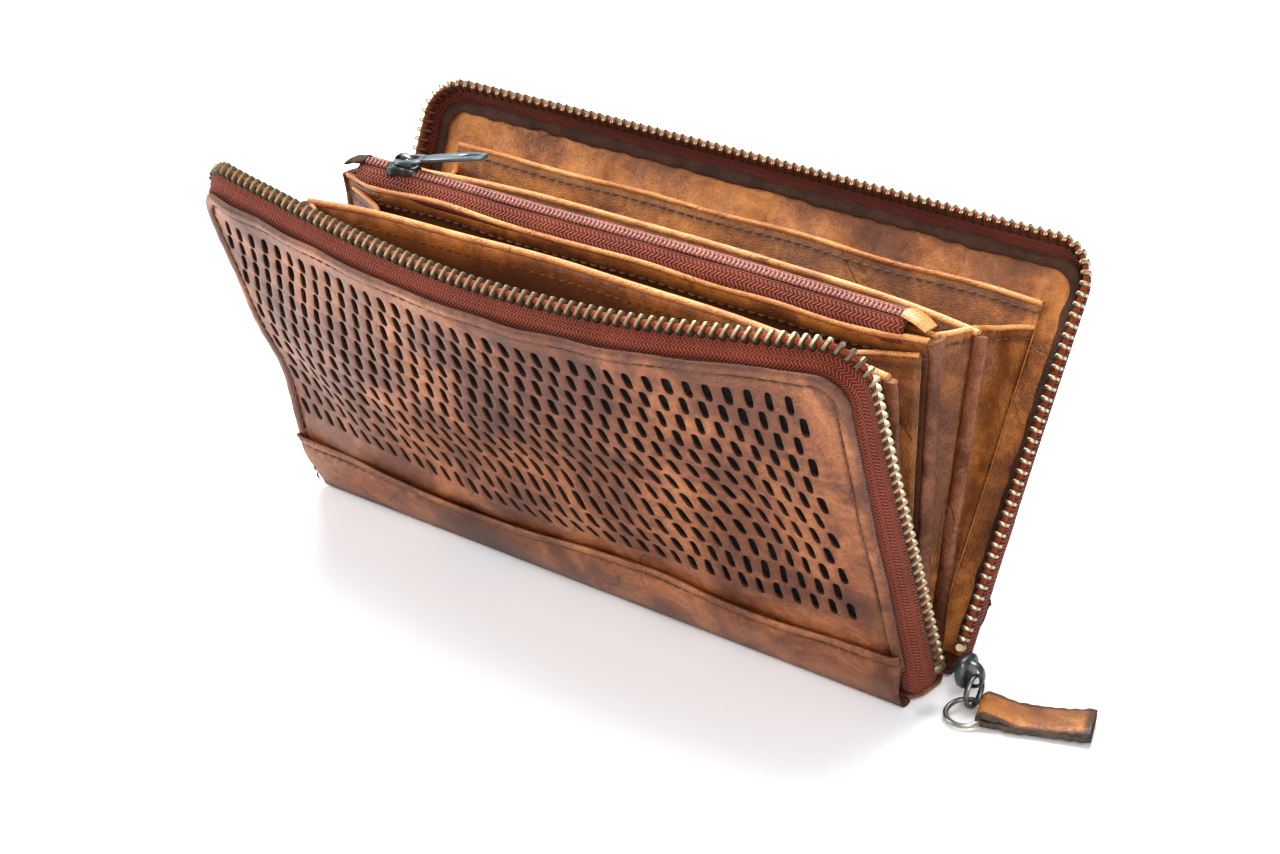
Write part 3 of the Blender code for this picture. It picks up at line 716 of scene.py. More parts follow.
@dataclass
class Perforation:
    """Rows of upright slots, each row half a step aside of the next."""

    left: float = -91.2 * MM
    cells: int = 37
    step: float = 4.8 * MM
    bottom: float = 24.5 * MM
    rows: int = 12
    row_step: float = 5.64 * MM
    half_width: float = 0.94 * MM
    half_height: float = 2.58 * MM
    collar: float = 0.20 * MM
    across_parts: int = 4
    up_parts: int = 6

    def ring(self) -> np.ndarray:
        """Return the cell's edge as points on a square from -1 to 1, once round."""
        a = np.linspace(-1, 1, self.across_parts, endpoint=False)
        b = np.linspace(-1, 1, self.up_parts, endpoint=False)
        one = np.ones_like
        parts = [(a, -one(a)), (one(b), b), (-a, one(a)), (-one(b), -b)]
        return np.concatenate([np.stack(p, axis=1) for p in parts])

    def centres(self) -> tuple[np.ndarray, np.ndarray]:
        """Return x and v of every slot's middle."""
        xs, vs = [], []
        for row in range(self.rows):
            count = self.cells - row % 2
            xs.append(self.left + self.step * (np.arange(count) + 0.5 + 0.5 * (row % 2)))
            vs.append(np.full(count, self.bottom + self.row_step * (row + 0.5)))
        return np.concatenate(xs), np.concatenate(vs)

    def lean_of_slots(self, x: np.ndarray, v: np.ndarray) -> tuple[np.ndarray, np.ndarray]:
        """Return the slant and the shortening of the slots, which follow the leather's pull and creases."""
        tx, tv = x / MM, v / MM
        slant = 0.34 * np.exp(-((tx + 80) / 55) ** 2 - ((tv - 82) / 26) ** 2)
        slant -= 0.42 * np.exp(-((tx + 50) / 60) ** 2 - ((tv - 30) / 15) ** 2)
        slant -= 0.38 * np.exp(-((tx - 50) / 40) ** 2 - ((tv - 52) / 13) ** 2)
        slant -= 0.35 * np.exp(-((tx - 5) / 40) ** 2 - ((tv - 40) / 9) ** 2)
        short = 1 - 0.22 * np.exp(-((tx + 55) / 60) ** 2 - ((tv - 32) / 16) ** 2)
        short -= 0.16 * np.exp(-((tx - 58) / 34) ** 2 - ((tv - 50) / 13) ** 2)
        return slant, short

    def build(self, x_lines: np.ndarray, v_lines: np.ndarray) -> tuple[np.ndarray, np.ndarray, np.ndarray, np.ndarray]:
        """Return x, v, faces and the slot-edge mark of a sheet of cells set into a grid of margins."""
        columns = len(x_lines)
        grid_x, grid_v = np.meshgrid(x_lines, v_lines)
        faces = grid_faces(len(v_lines), columns)
        middle_x = (x_lines[:-1] + x_lines[1:])[None, :] / 2 + np.zeros((len(v_lines) - 1, 1))
        middle_v = (v_lines[:-1] + v_lines[1:])[:, None] / 2 + np.zeros((1, columns - 1))
        right, top = self.left + self.cells * self.step, self.bottom + self.rows * self.row_step
        row = np.floor((middle_v - self.bottom) / self.row_step)
        end = np.where(row % 2 == 1, self.step / 2, 0.0)
        inside = ((middle_x > self.left + end) & (middle_x < right - end)
                  & (middle_v > self.bottom) & (middle_v < top))
        faces = faces[~inside.ravel()]
        x0, v0 = self.centres()
        ring = self.ring()
        slant, short = self.lean_of_slots(x0, v0)
        angle = np.arctan2(ring[:, 1], ring[:, 0])
        power = 2 / 3.1
        round_x = np.sign(np.cos(angle)) * np.abs(np.cos(angle)) ** power
        round_v = np.sign(np.sin(angle)) * np.abs(np.sin(angle)) ** power
        draw = np.random.default_rng(5)
        wide = draw.uniform(0.88, 1.12, len(x0))[:, None]
        layers_x = [x0[:, None] + ring[None, :, 0] * self.step / 2]
        layers_v = [v0[:, None] + ring[None, :, 1] * self.row_step / 2]
        for grow in (self.collar, 0.0):
            up = round_v[None, :] * (self.half_height * short[:, None] + grow)
            layers_x.append(x0[:, None] + round_x[None, :] * (self.half_width * wide + grow) + up * slant[:, None])
            layers_v.append(v0[:, None] + up)
        xs = np.concatenate([grid_x.ravel()] + [a.ravel() for a in layers_x])
        vs = np.concatenate([grid_v.ravel()] + [a.ravel() for a in layers_v])
        size, count = len(ring), len(x0)
        start = [grid_x.size + k * size * count for k in range(3)]
        k = np.arange(size)
        cell = (np.arange(count) * size)[:, None]
        for first, second in ((start[0], start[1]), (start[1], start[2])):
            quads = (first + cell + k, first + cell + (k + 1) % size, second + cell + (k + 1) % size, second + cell + k)
            faces = np.concatenate((faces, np.stack(quads, axis=-1).reshape(-1, 4)))
        mark = np.zeros(len(xs))
        mark[start[1]:start[2]] = 0.25
        mark[start[2]:] = 1.0
        keys = np.round(np.stack((xs, vs), axis=1) / (0.002 * MM)).astype(np.int64)
        _, first_of, number = np.unique(keys, axis=0, return_index=True, return_inverse=True)
        faces = number.ravel()[faces]
        used, faces = np.unique(faces, return_inverse=True)
        keep = first_of[used]
        return xs[keep], vs[keep], faces.reshape(-1, 4), mark[keep]


@dataclass
class Cover:
    """One cover: perforated panel, base band, board, lining, raw binding, slip pocket and zip half."""

    name: str
    leaf: Leaf
    seed: int
    slope: tuple
    panel_rim: Rim = Rim(COVER_HALF, COVER_TOP, CORNER, 3 * MM)
    teeth_rim: Rim = Rim(96.4 * MM, 102.3 * MM, 10 * MM, 3 * MM)
    band_half: float = 94.8 * MM
    tooth_pitch: float = 2.54 * MM

    def attach(self, piece: bpy.types.Object, slot: str, *nodes: str) -> None:
        """Let a front piece move with the front cover; a back piece is only baked in place."""
        if self.name == "front":
            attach(piece, "front_cover")
        else:
            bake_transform(piece)
        if nodes:
            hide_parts(*[f"{self.name}_{node}" for node in nodes])
        log.info("built %s", piece.name)

    def out(self) -> tuple[float, float, float]:
        """Return the rough outward direction."""
        return (0.0, -float(self.leaf.inward), 0.0)

    def build(self) -> None:
        """Build every piece of the cover and sew it."""
        seams = Seams(self.name + "_cover_stitching")
        self.panel(seams)
        self.band(seams)
        self.board()
        self.lining()
        self.binding()
        self.slip_pocket(seams)
        self.tape()
        self.teeth()
        self.attach(seams.finish(), "outer_leather")

    def edge_distance(self, x: np.ndarray, v: np.ndarray) -> tuple[np.ndarray, np.ndarray, np.ndarray]:
        """Round the outline's top corners and return x, v and the distance from the edge.

        In a corner's square, a' = a * sqrt(1 - b^2 / 2) and b' = b * sqrt(1 - a^2 / 2) turn it into a quarter disc.
        """
        a = np.clip((np.abs(x) - (COVER_HALF - CORNER)) / CORNER, 0, 1)
        b = np.clip((v - (COVER_TOP - CORNER)) / CORNER, 0, 1)
        a2, b2 = a * np.sqrt(1 - b * b / 2), b * np.sqrt(1 - a * a / 2)
        corner = (a > 0) & (b > 0)
        new_x = np.where(corner, np.sign(x) * (COVER_HALF - CORNER + CORNER * a2), x)
        new_v = np.where(corner, COVER_TOP - CORNER + CORNER * b2, v)
        straight = np.minimum(COVER_HALF - np.abs(x), COVER_TOP - v)
        return new_x, new_v, np.where(corner, CORNER * (1 - np.hypot(a2, b2)), straight)

    @staticmethod
    def rim_height(edge: np.ndarray) -> np.ndarray:
        """Return the panel's height near its edge: a turned-over rim, a stitch groove and a rolled edge."""
        raised = 0.50 * MM * (1 - smooth_step(edge, 2.5 * MM, 3.3 * MM))
        groove = 0.42 * MM * np.exp(-((edge - 3.1 * MM) / (0.45 * MM)) ** 2)
        return raised - groove - 1.0 * MM * np.clip(1 - edge / (1.1 * MM), 0, 1) ** 2

    def panel(self, seams: Seams) -> None:
        """The perforated leather panel with its turned edges."""
        cells = Perforation()
        right, top = cells.left + cells.cells * cells.step, cells.bottom + cells.rows * cells.row_step
        x_lines = np.concatenate((np.linspace(-COVER_HALF, cells.left, 9)[:-1],
                                  np.linspace(cells.left, right, cells.cells * cells.across_parts + 1),
                                  np.linspace(right, COVER_HALF, 17)[1:]))
        v_lines = np.concatenate((np.linspace(12 * MM, cells.bottom, 8)[:-1],
                                  np.linspace(cells.bottom, top, cells.rows * cells.up_parts + 1),
                                  np.linspace(top, COVER_TOP, 17)[1:]))
        x, v, faces, mark = cells.build(x_lines, v_lines)
        x, v, edge = self.edge_distance(x, v)
        height = self.rim_height(edge) - 0.14 * MM * (mark > 0.9) + 0.22 * MM * ripple(x, v, self.seed, 17 * MM)
        height += 0.05 * MM * ripple(x, v, self.seed + 1, 4 * MM)
        wear = np.maximum(0.45 * mark, 0.55 * (1 - smooth_step(edge, 0.2 * MM, 1.6 * MM)))
        # Painted shade: a dark line in the stitch groove along the rim.
        wear = np.maximum(wear, 0.7 * np.exp(-((edge - 3.1 * MM) / (0.5 * MM)) ** 2))
        points = self.leaf.world(x, v, -height)
        panel = add_piece(self.name + "_perforated_panel", points, faces, [OUTER_LEATHER, RAW_EDGE], wear=wear,
                          facing=self.out(), thickness=1.05 * MM)
        self.attach(panel, "outer_leather", "outer_panel")
        sx, sv = Rim(COVER_HALF, COVER_TOP, CORNER, 18 * MM).line(3.1 * MM)
        seams.sew(self.leaf.world(sx, sv, -0.02 * MM), self.leaf.outward(sx))

    def band(self, seams: Seams) -> None:
        """The plain base band: a folded top edge over the panel, then down and under the hinge line."""
        x = np.linspace(-self.band_half, self.band_half, 150)
        top = seam_height(x)
        end = np.clip((self.band_half - np.abs(x)) / (3.2 * MM), 0, 1)
        close = np.sqrt(1 - (1 - end) ** 2) * 0.55 + 0.45
        turns = np.radians(np.arange(180, 286, 15))
        outer = [(-0.25, -1.4), (-0.75, -0.55), (-1.25, -0.1), (-1.72, -0.45), (-1.86, -1.2), (-1.70, -2.2),
                 (-1.25, -2.75), (-1.72, -3.6), (-2.05, -5.2), (-2.20, -8.0)]
        rows_w = [np.full(len(x), w * MM) * close for w, _ in outer] + [np.full(len(x), -1.30 * MM) * close]
        rows_v = [top + dv * MM for _, dv in outer] + [np.full(len(x), 3.2 * MM)]
        for turn in turns:
            rows_w.append(np.full(len(x), KNUCKLE + (KNUCKLE + 0.25 * MM) * math.cos(turn)))
            rows_v.append(np.full(len(x), KNUCKLE * math.sin(turn)))
        w, v = np.array(rows_w), np.array(rows_v)
        grid_x = np.broadcast_to(x, w.shape).copy()
        low = smooth_step(-v, -14 * MM, -1 * MM)
        grid_x *= 1 - 0.030 * low * (np.abs(grid_x) / self.band_half) ** 12
        w = w - 0.30 * MM * ripple(grid_x, v, self.seed + 3, 22 * MM) * smooth_step(v, 0.5 * MM, 6 * MM)
        # Painted shade: a dark line in the stitch groove below the folded top, and darkening on the rolled underside
        # where the band meets the floor.
        wear = 0.5 * np.exp(-((v - top + 2.75 * MM) / (0.5 * MM)) ** 2) + 0.5 * (1 - smooth_step(v, -1 * MM, 2 * MM))
        band = add_piece(self.name + "_band", self.leaf.world(grid_x, v, w), grid_faces(*w.shape),
                         [OUTER_LEATHER, RAW_EDGE], wear=np.clip(wear, 0, 1), facing=self.out(), thickness=0.9 * MM)
        self.attach(band, "outer_leather", "base_band")
        inside = np.abs(x) < self.band_half - 2 * MM
        seams.sew(self.leaf.world(x[inside], top[inside] - 2.75 * MM, -1.35 * MM), self.leaf.outward(x[inside]))
        for end_of in End:
            line_v = np.linspace(2 * MM, 14 * MM, 14)
            line_x = np.full(14, end_of.value * (self.band_half - 3.0 * MM))
            seams.sew(self.leaf.world(line_x, line_v, -1.5 * MM), self.leaf.outward(line_x))

    def sheet(self, rim: Rim, inset: float, bottom: float, columns: int, rows: int) -> tuple[np.ndarray, np.ndarray]:
        """Return x and v of a grid that fills the outline, with its top corners rounded."""
        half = rim.half - inset
        x, v = np.meshgrid(np.linspace(-half, half, columns), np.linspace(bottom, rim.top - inset, rows))
        radius = rim.radius - inset
        a = np.clip((np.abs(x) - (half - radius)) / radius, 0, 1)
        b = np.clip((v - (rim.top - inset - radius)) / radius, 0, 1)
        both = (a > 0) & (b > 0)
        x2 = np.where(both, np.sign(x) * (half - radius + radius * a * np.sqrt(1 - b * b / 2)), x)
        v2 = np.where(both, rim.top - inset - radius + radius * b * np.sqrt(1 - a * a / 2), v)
        return x2, v2

    def board(self) -> None:
        """The dark backing seen through the slots."""
        x, v = self.sheet(self.panel_rim, 4.8 * MM, 3 * MM, 90, 40)
        board = add_piece(self.name + "_backing_board", self.leaf.world(x, v, 1.55 * MM), grid_faces(*x.shape),
                          [BACKING, BACKING], facing=self.out(), thickness=0.6 * MM)
        self.attach(board, "fibre_board", "board")

    def lining(self) -> None:
        """The inner leather: soft upright folds and shallow dents."""
        x, v = self.sheet(self.panel_rim, 1.6 * MM, 2.5 * MM, 200, 100)
        inset = np.minimum(COVER_HALF - np.abs(x), COVER_TOP - v)
        inner = smooth_step(inset, 2 * MM, 12 * MM)
        folds = ripple(x * 1.6, v * 0.5, self.seed + 5, 26 * MM) * 0.9 + ripple(x, v, self.seed + 6, 12 * MM) * 0.25
        sharp = np.abs(ripple(x * 1.2 + v * 0.25, v * 0.35, self.seed + 7, 30 * MM)) ** 0.6
        depth = 2.75 * MM + inner * (0.75 + 0.55 * folds + 0.55 * sharp) * MM
        # Painted shade: darkening next to the raw binding and along the sharp fold lines of the lining.
        wear = 0.75 * (1 - smooth_step(inset, 1.8 * MM, 4.2 * MM)) + 0.30 * (1 - smooth_step(sharp, 0.0, 0.3)) * inner
        lining = add_piece(self.name + "_cover_lining", self.leaf.world(x, v, depth), grid_faces(*x.shape),
                           [INNER_LEATHER, RAW_EDGE], wear=np.clip(wear, 0, 1),
                           facing=(0, self.leaf.inward, 0), thickness=0.5 * MM)
        self.attach(lining, "inner_leather", "lining")

    def binding(self) -> None:
        """The raw dark strip glued over the lining's edge."""
        rim = Rim(COVER_HALF, COVER_TOP, CORNER, 6 * MM, 60, 18, 130)
        x, v = rim.line(2.1 * MM)
        wobble = ripple(x, v, self.seed + 8, 7 * MM) * 0.30 * MM
        path = self.leaf.world(x, v, 3.3 * MM + 0.25 * wobble)
        size = 1.55 * MM + wobble
        points, faces = tube(path, -self.leaf.outward(x), size, 0.75 * MM + 0.4 * wobble, 10)
        self.attach(add_piece(self.name + "_raw_binding", points, faces, [RAW_EDGE], closed=True), "dark_leather",
                    "edge_binding")

    def slip_pocket(self, seams: Seams) -> None:
        """The slip pocket: a sheet standing off the lining with a turned and stitched top hem."""
        half, bottom, top = 86.5 * MM, 12 * MM, 86.5 * MM
        x = np.linspace(-half, half, 120)
        hem = top + 0.7 * MM * ripple(x, x * 0, self.seed + 9, 60 * MM)
        share = np.linspace(0, 1, 34)[:, None]
        v = bottom + (hem[None, :] - bottom) * share
        side = smooth_step(half - np.abs(x), 0, 16 * MM)[None, :]
        stand = (0.3 + (0.6 * side + 0.15) * share ** 2) * MM
        w = 3.95 * MM + stand + 0.30 * MM * ripple(x[None, :] + 0 * v, v, self.seed + 10, 24 * MM) * side
        # Painted shade: a dark line along the stitched groove under the hem.
        wear = 0.6 * np.exp(-((hem[None, :] - v - 2.3 * MM) / (0.5 * MM)) ** 2) + 0 * w
        inward = (0, self.leaf.inward, 0)
        body = add_piece(self.name + "_slip_pocket_body", self.leaf.world(x[None, :], v, w), grid_faces(*w.shape),
                         [INNER_LEATHER, HEM_LEATHER], wear=wear, facing=inward, thickness=0.7 * MM)
        self.attach(body, "inner_leather", "slip_pocket")
        path = self.leaf.world(x, hem, w[-1] - 0.35 * MM)
        points, faces = tube(path, -self.leaf.outward(x), 0.75 * MM, 0.85 * MM, 10)
        self.attach(add_piece(self.name + "_slip_pocket_hem", points, faces, [HEM_LEATHER], closed=True),
                    "inner_leather")
        seams.sew(self.leaf.world(x, hem - 2.3 * MM, w[-3] + 0.1 * MM), -self.leaf.outward(x))

    def teeth_depth(self, v: np.ndarray) -> np.ndarray:
        """Return how deep the teeth lie so that both rows meet beside the middle when shut."""
        lean = math.radians(2.3)
        return KNUCKLE + (HINGE_Y - 1.7 * MM - v * math.sin(lean)) / math.cos(lean)

    def tape(self) -> None:
        """The woven tape: from under the edge, bulging out and inward to the teeth."""
        stations = ((-4.4, 1.62, 0.0), (-2.0, 1.62, 0.0), (-0.4, 1.66, 0.0), (0.75, 2.2, 0.0), (1.35, 3.3, 0.0),
                    (0.0, 0.34, 1.0), (0.0, 0.56, 1.0), (0.0, 0.78, 1.0), (0.0, 1.0, 1.0))
        cover_x, cover_v = self.panel_rim.line(0.0)
        end_x, end_v = self.teeth_rim.line(0.4 * MM)
        depth_end = self.teeth_depth(end_v) - 0.3 * MM
        base_x, base_v = self.panel_rim.line(-1.5 * MM)
        rows, widths = [], []
        for out, level, late in stations:
            if late:
                x = base_x + (end_x - base_x) * level
                v = base_v + (end_v - base_v) * level
                bulge = 0.9 * MM * math.sin(math.pi * level)
                x = x + np.sign(x) * bulge * np.clip((np.abs(cover_x) - 70 * MM) / (25 * MM), 0, 1)
                rows.append(self.leaf.world(x, v, 3.3 * MM + (depth_end - 3.3 * MM) * level))
            else:
                x, v = self.panel_rim.line(-out * MM)
                rows.append(self.leaf.world(x, v, np.full(len(x), level * MM)))
        points = np.array(rows)
        across = np.concatenate(([0.0], np.cumsum(np.linalg.norm(np.diff(points, axis=0), axis=2).mean(axis=1))))
        length = np.concatenate(([0.0], np.cumsum(np.linalg.norm(np.diff(points[4], axis=0), axis=1))))
        uv = np.stack(np.broadcast_arrays(length[None, :], across[:, None]), axis=-1)
        tape = add_piece(self.name + "_woven_tape", points, grid_faces(*points.shape[:2]), [COVER_TAPE, COVER_TAPE],
                         uv=uv, facing=(0, 0, 1), thickness=0.6 * MM)
        self.attach(tape, "zip_tape", "zip_tape")

    def teeth(self) -> None:
        """The metal teeth on their cord, with a stop at each end."""
        rim_x, rim_v = self.teeth_rim.line(0.0)
        depth = self.teeth_depth(rim_v)
        path = self.leaf.world(rim_x, rim_v, depth)
        outer_x, outer_v = self.teeth_rim.line(-1.0 * MM)
        edge = unit(self.leaf.world(outer_x, outer_v, depth) - path)
        deep = unit(self.leaf.world(rim_x, rim_v, depth + 1.0 * MM) - path)
        reach = unit(edge * 0.32 + deep * 0.95)
        points, faces = tube(path, edge, 0.75 * MM, 0.75 * MM, 8)
        cord = add_piece(self.name + "_teeth_cord", points, faces, [COVER_TAPE], closed=True,
                         uv=np.zeros((len(points), 2)))
        self.attach(cord, "zip_tape")
        centres, index = along(path, self.tooth_pitch, 1.6)
        number = np.arange(len(path))
        pick = lambda field_of: unit(np.stack([np.interp(index, number, field_of[:, k]) for k in range(3)], 1))
        out, ahead = pick(reach), pick(np.gradient(path, axis=0))
        thick = unit(np.cross(ahead, out))
        shape, faces = self.tooth_shape()
        axes = np.stack((out, ahead, thick), axis=1)
        placed, repeated = copies(shape, faces, centres - out * 0.15 * MM, axes)
        worn_and_shaded = np.tile(self.tooth_wear(shape), len(centres))
        teeth = add_piece(self.name + "_metal_teeth", placed, repeated, [TEETH_BRASS], wear=worn_and_shaded, closed=True,
                          sharp=38.0)
        self.attach(teeth, "brass_teeth", "zip_teeth")
        for end_of, at in ((End.RIGHT, 1), (End.LEFT, -2)):
            shape, faces = pill(3.2 * MM, 1.3 * MM, 1.35 * MM, sides=10, end=0.7)
            axes = np.stack((reach[at], unit(np.gradient(path, axis=0)[at]),
                             np.cross(unit(np.gradient(path, axis=0)[at]), reach[at])))[None]
            placed, repeated = copies(shape, faces, path[[at]] - reach[[at]] * 0.2 * MM, axes)
            stop = add_piece(f"{self.name}_end_stop_{end_of.name.lower()}", placed, repeated, [TEETH_BRASS],
                             wear=0.6, closed=True)
            self.attach(stop, "brass_teeth", "zip_stop_" + end_of.name.lower())

    @staticmethod
    def tooth_shape() -> tuple[np.ndarray, list]:
        """Return one tooth along x: a wide clamp on the cord, a waist and a rounded head."""
        place = np.array((-1.75, -1.45, -0.3, 0.45, 0.9, 1.6, 1.85)) * MM
        wide = np.array((0.45, 0.60, 0.62, 0.60, 0.64, 0.58, 0.34)) * MM
        thick = np.array((1.0, 1.40, 1.40, 1.28, 1.26, 1.1, 0.7)) * MM
        section = np.array(((1, 0.55), (0.55, 1), (-0.55, 1), (-1, 0.55), (-1, -0.55), (-0.55, -1), (0.55, -1), (1, -0.55)))
        rings = np.stack((np.repeat(place[:, None], 8, 1), wide[:, None] * section[None, :, 0],
                          thick[:, None] * section[None, :, 1]), axis=-1)
        return sweep(rings)

    @staticmethod
    def tooth_wear(shape: np.ndarray) -> np.ndarray:
        """Return how bright each point of a tooth is rubbed: most on its faces and head."""
        return np.clip(0.45 + shape[:, 0] / (3.6 * MM) + 0.3 * np.abs(shape[:, 2]) / (1.4 * MM), 0, 1)


# ---------------------------------------------------------------- inside


DIVIDER_FRONT = Leaf(1, 8.0, 8.0, -4.3, 2.0, ((-30, 60, 40, 30, 0, 0.5), (40, 50, 30, 30, 0, -0.5)))
DIVIDER_BACK = Leaf(-1, 8.5, 8.5, 2.6, 2.0, ((20, 60, 40, 30, 0, -0.4),))
DIVIDER_DEPTH = KNUCKLE + 2.5 * MM
PANEL_TOP = 82.3 * MM


def across_plane(inward: int, foot: float, lean: float, before: float, after: float) -> tuple[tuple, tuple]:
    """Return two points on either side of a leaning plane, along its outward normal.

    Args:
        inward: 1 for the front half, -1 for the back half.
        foot: how far the plane's foot lies from the middle.
        lean: the plane's lean in degrees.
        before: how far inward of the plane the first point lies.
        after: how far outward of it the second point lies.

    Returns:
        The two points.
    """
    angle = math.radians(lean)
    normal = np.array((0.0, -inward * math.cos(angle), -math.sin(angle)))
    height = 50 * MM
    middle = np.array((0.0, -inward * (foot + height * math.tan(angle)), HINGE_Z + height))
    return tuple((middle - normal * before).tolist()), tuple((middle + normal * after).tolist())


def hemmed_sheet(name: str, joins: tuple, node: str, low: np.ndarray, high: np.ndarray, out: tuple,
                 groove_shade_line: float, thickness: float, shade: float = 0.92) -> bpy.types.Object:
    """Make a leather sheet between two lines, given as rows of points from bottom to top.

    Args:
        name: the piece's name.
        joins: the body it rides on, or two bodies and two points, in which case the sheet is only baked in place.
        node: the node that it stands for.
        low: points (rows, columns, 3) of the sheet.
        high: the hem's centre line, along the top.
        out: the direction that the stitched side looks along.
        groove_shade_line: how far below the top the stitched groove runs, where painted shade darkens it.
        thickness: the sheet's thickness.
        shade: how strongly painted shade darkens the sheet with depth below its top.

    Returns:
        The sheet.
    """
    drop = np.linalg.norm(low - high[None], axis=-1)
    # Painted shade: a dark line along the stitched groove, and darkening that deepens down into the pocket.
    wear = 0.55 * np.exp(-((drop - groove_shade_line) / (0.6 * MM)) ** 2) + shade * smooth_step(drop, 0.8 * MM, 8 * MM)
    sheet = add_piece(name, low, grid_faces(*low.shape[:2]), [INNER_LEATHER, HEM_LEATHER],
                      wear=np.clip(wear, 0, 1), facing=out, thickness=thickness)
    join(sheet, joins)
    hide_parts(node)
    log.info("built %s", name)
    return sheet


def join(piece: bpy.types.Object, joins: tuple) -> None:
    """Let a piece ride on one body; with two bodies it is only baked in place."""
    if len(joins) == 1:
        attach(piece, joins[0])
    else:
        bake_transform(piece)


@dataclass
class Divider:
    """A leather divider with a rolled top hem and thick rounded side edges."""

    name: str
    leaf: Leaf
    stitch_drop: float
    joins: tuple
    slant: float = 0.0
    fall: float = 1.0 * MM

    def build(self) -> None:
        """Build the sheet, its hem, its side edges and its thread."""
        body = self.name + "_divider"
        x = np.linspace(-INNER_HALF + 0.5 * MM, INNER_HALF - 0.5 * MM, 110)
        v = np.linspace(2 * MM, PANEL_TOP - 0.6 * MM, 30)[:, None]
        wave = ripple(x[None, :] + 0 * v, v * 0.4, len(self.name), 50 * MM) * 0.35 * MM * smooth_step(v, 0, 40 * MM)
        fall = self.fall * (np.abs(x) / INNER_HALF) ** 4
        v = v - fall[None, :] * (v / PANEL_TOP)
        points = self.leaf.world(x[None, :], v, DIVIDER_DEPTH - 0.55 * MM + wave)
        top = self.leaf.world(x, PANEL_TOP - 0.4 * MM - fall, DIVIDER_DEPTH + wave[-1])
        out = (0, -self.leaf.inward, 0)
        hemmed_sheet(body + "_leather", self.joins, body, points, top, out, self.stitch_drop, 1.1 * MM)
        shape, faces = tube(top, self.leaf.outward(x), 0.95 * MM, 0.95 * MM, 10)
        hem = add_piece(body + "_hem", shape, faces, [HEM_LEATHER], closed=True)
        join(hem, self.joins)
        seams = Seams(body + "_stitching")
        line = self.leaf.world(x, PANEL_TOP - self.stitch_drop - fall, DIVIDER_DEPTH - 0.58 * MM + wave[-3])
        seams.sew(line, self.leaf.outward(x), self.slant)
        seams.sew(self.leaf.world(x, PANEL_TOP - self.stitch_drop - fall, DIVIDER_DEPTH + 0.58 * MM + wave[-3]),
                  -self.leaf.outward(x), self.slant)
        for end in End:
            height = np.linspace(3 * MM, PANEL_TOP - 0.8 * MM - self.fall, 50)
            side_x = np.full(50, end.value * INNER_HALF)
            wobble = 0.25 * MM * ripple(side_x, height, 3 + end.value, 12 * MM)
            path = self.leaf.world(side_x + wobble, height, DIVIDER_DEPTH)
            shape, faces = tube(path, self.leaf.outward(side_x), 1.9 * MM, 1.15 * MM + 0.3 * wobble, 12)
            edge = add_piece(f"{body}_side_edge_{end.name.lower()}", shape, faces, [DARK_EDGE], closed=True)
            join(edge, self.joins)
            seam = self.leaf.world(side_x - end.value * 2.6 * MM, height, DIVIDER_DEPTH - 0.58 * MM)
            seams.sew(seam[2:-4], self.leaf.outward(side_x)[2:-4])
        thread = seams.finish()
        join(thread, self.joins)


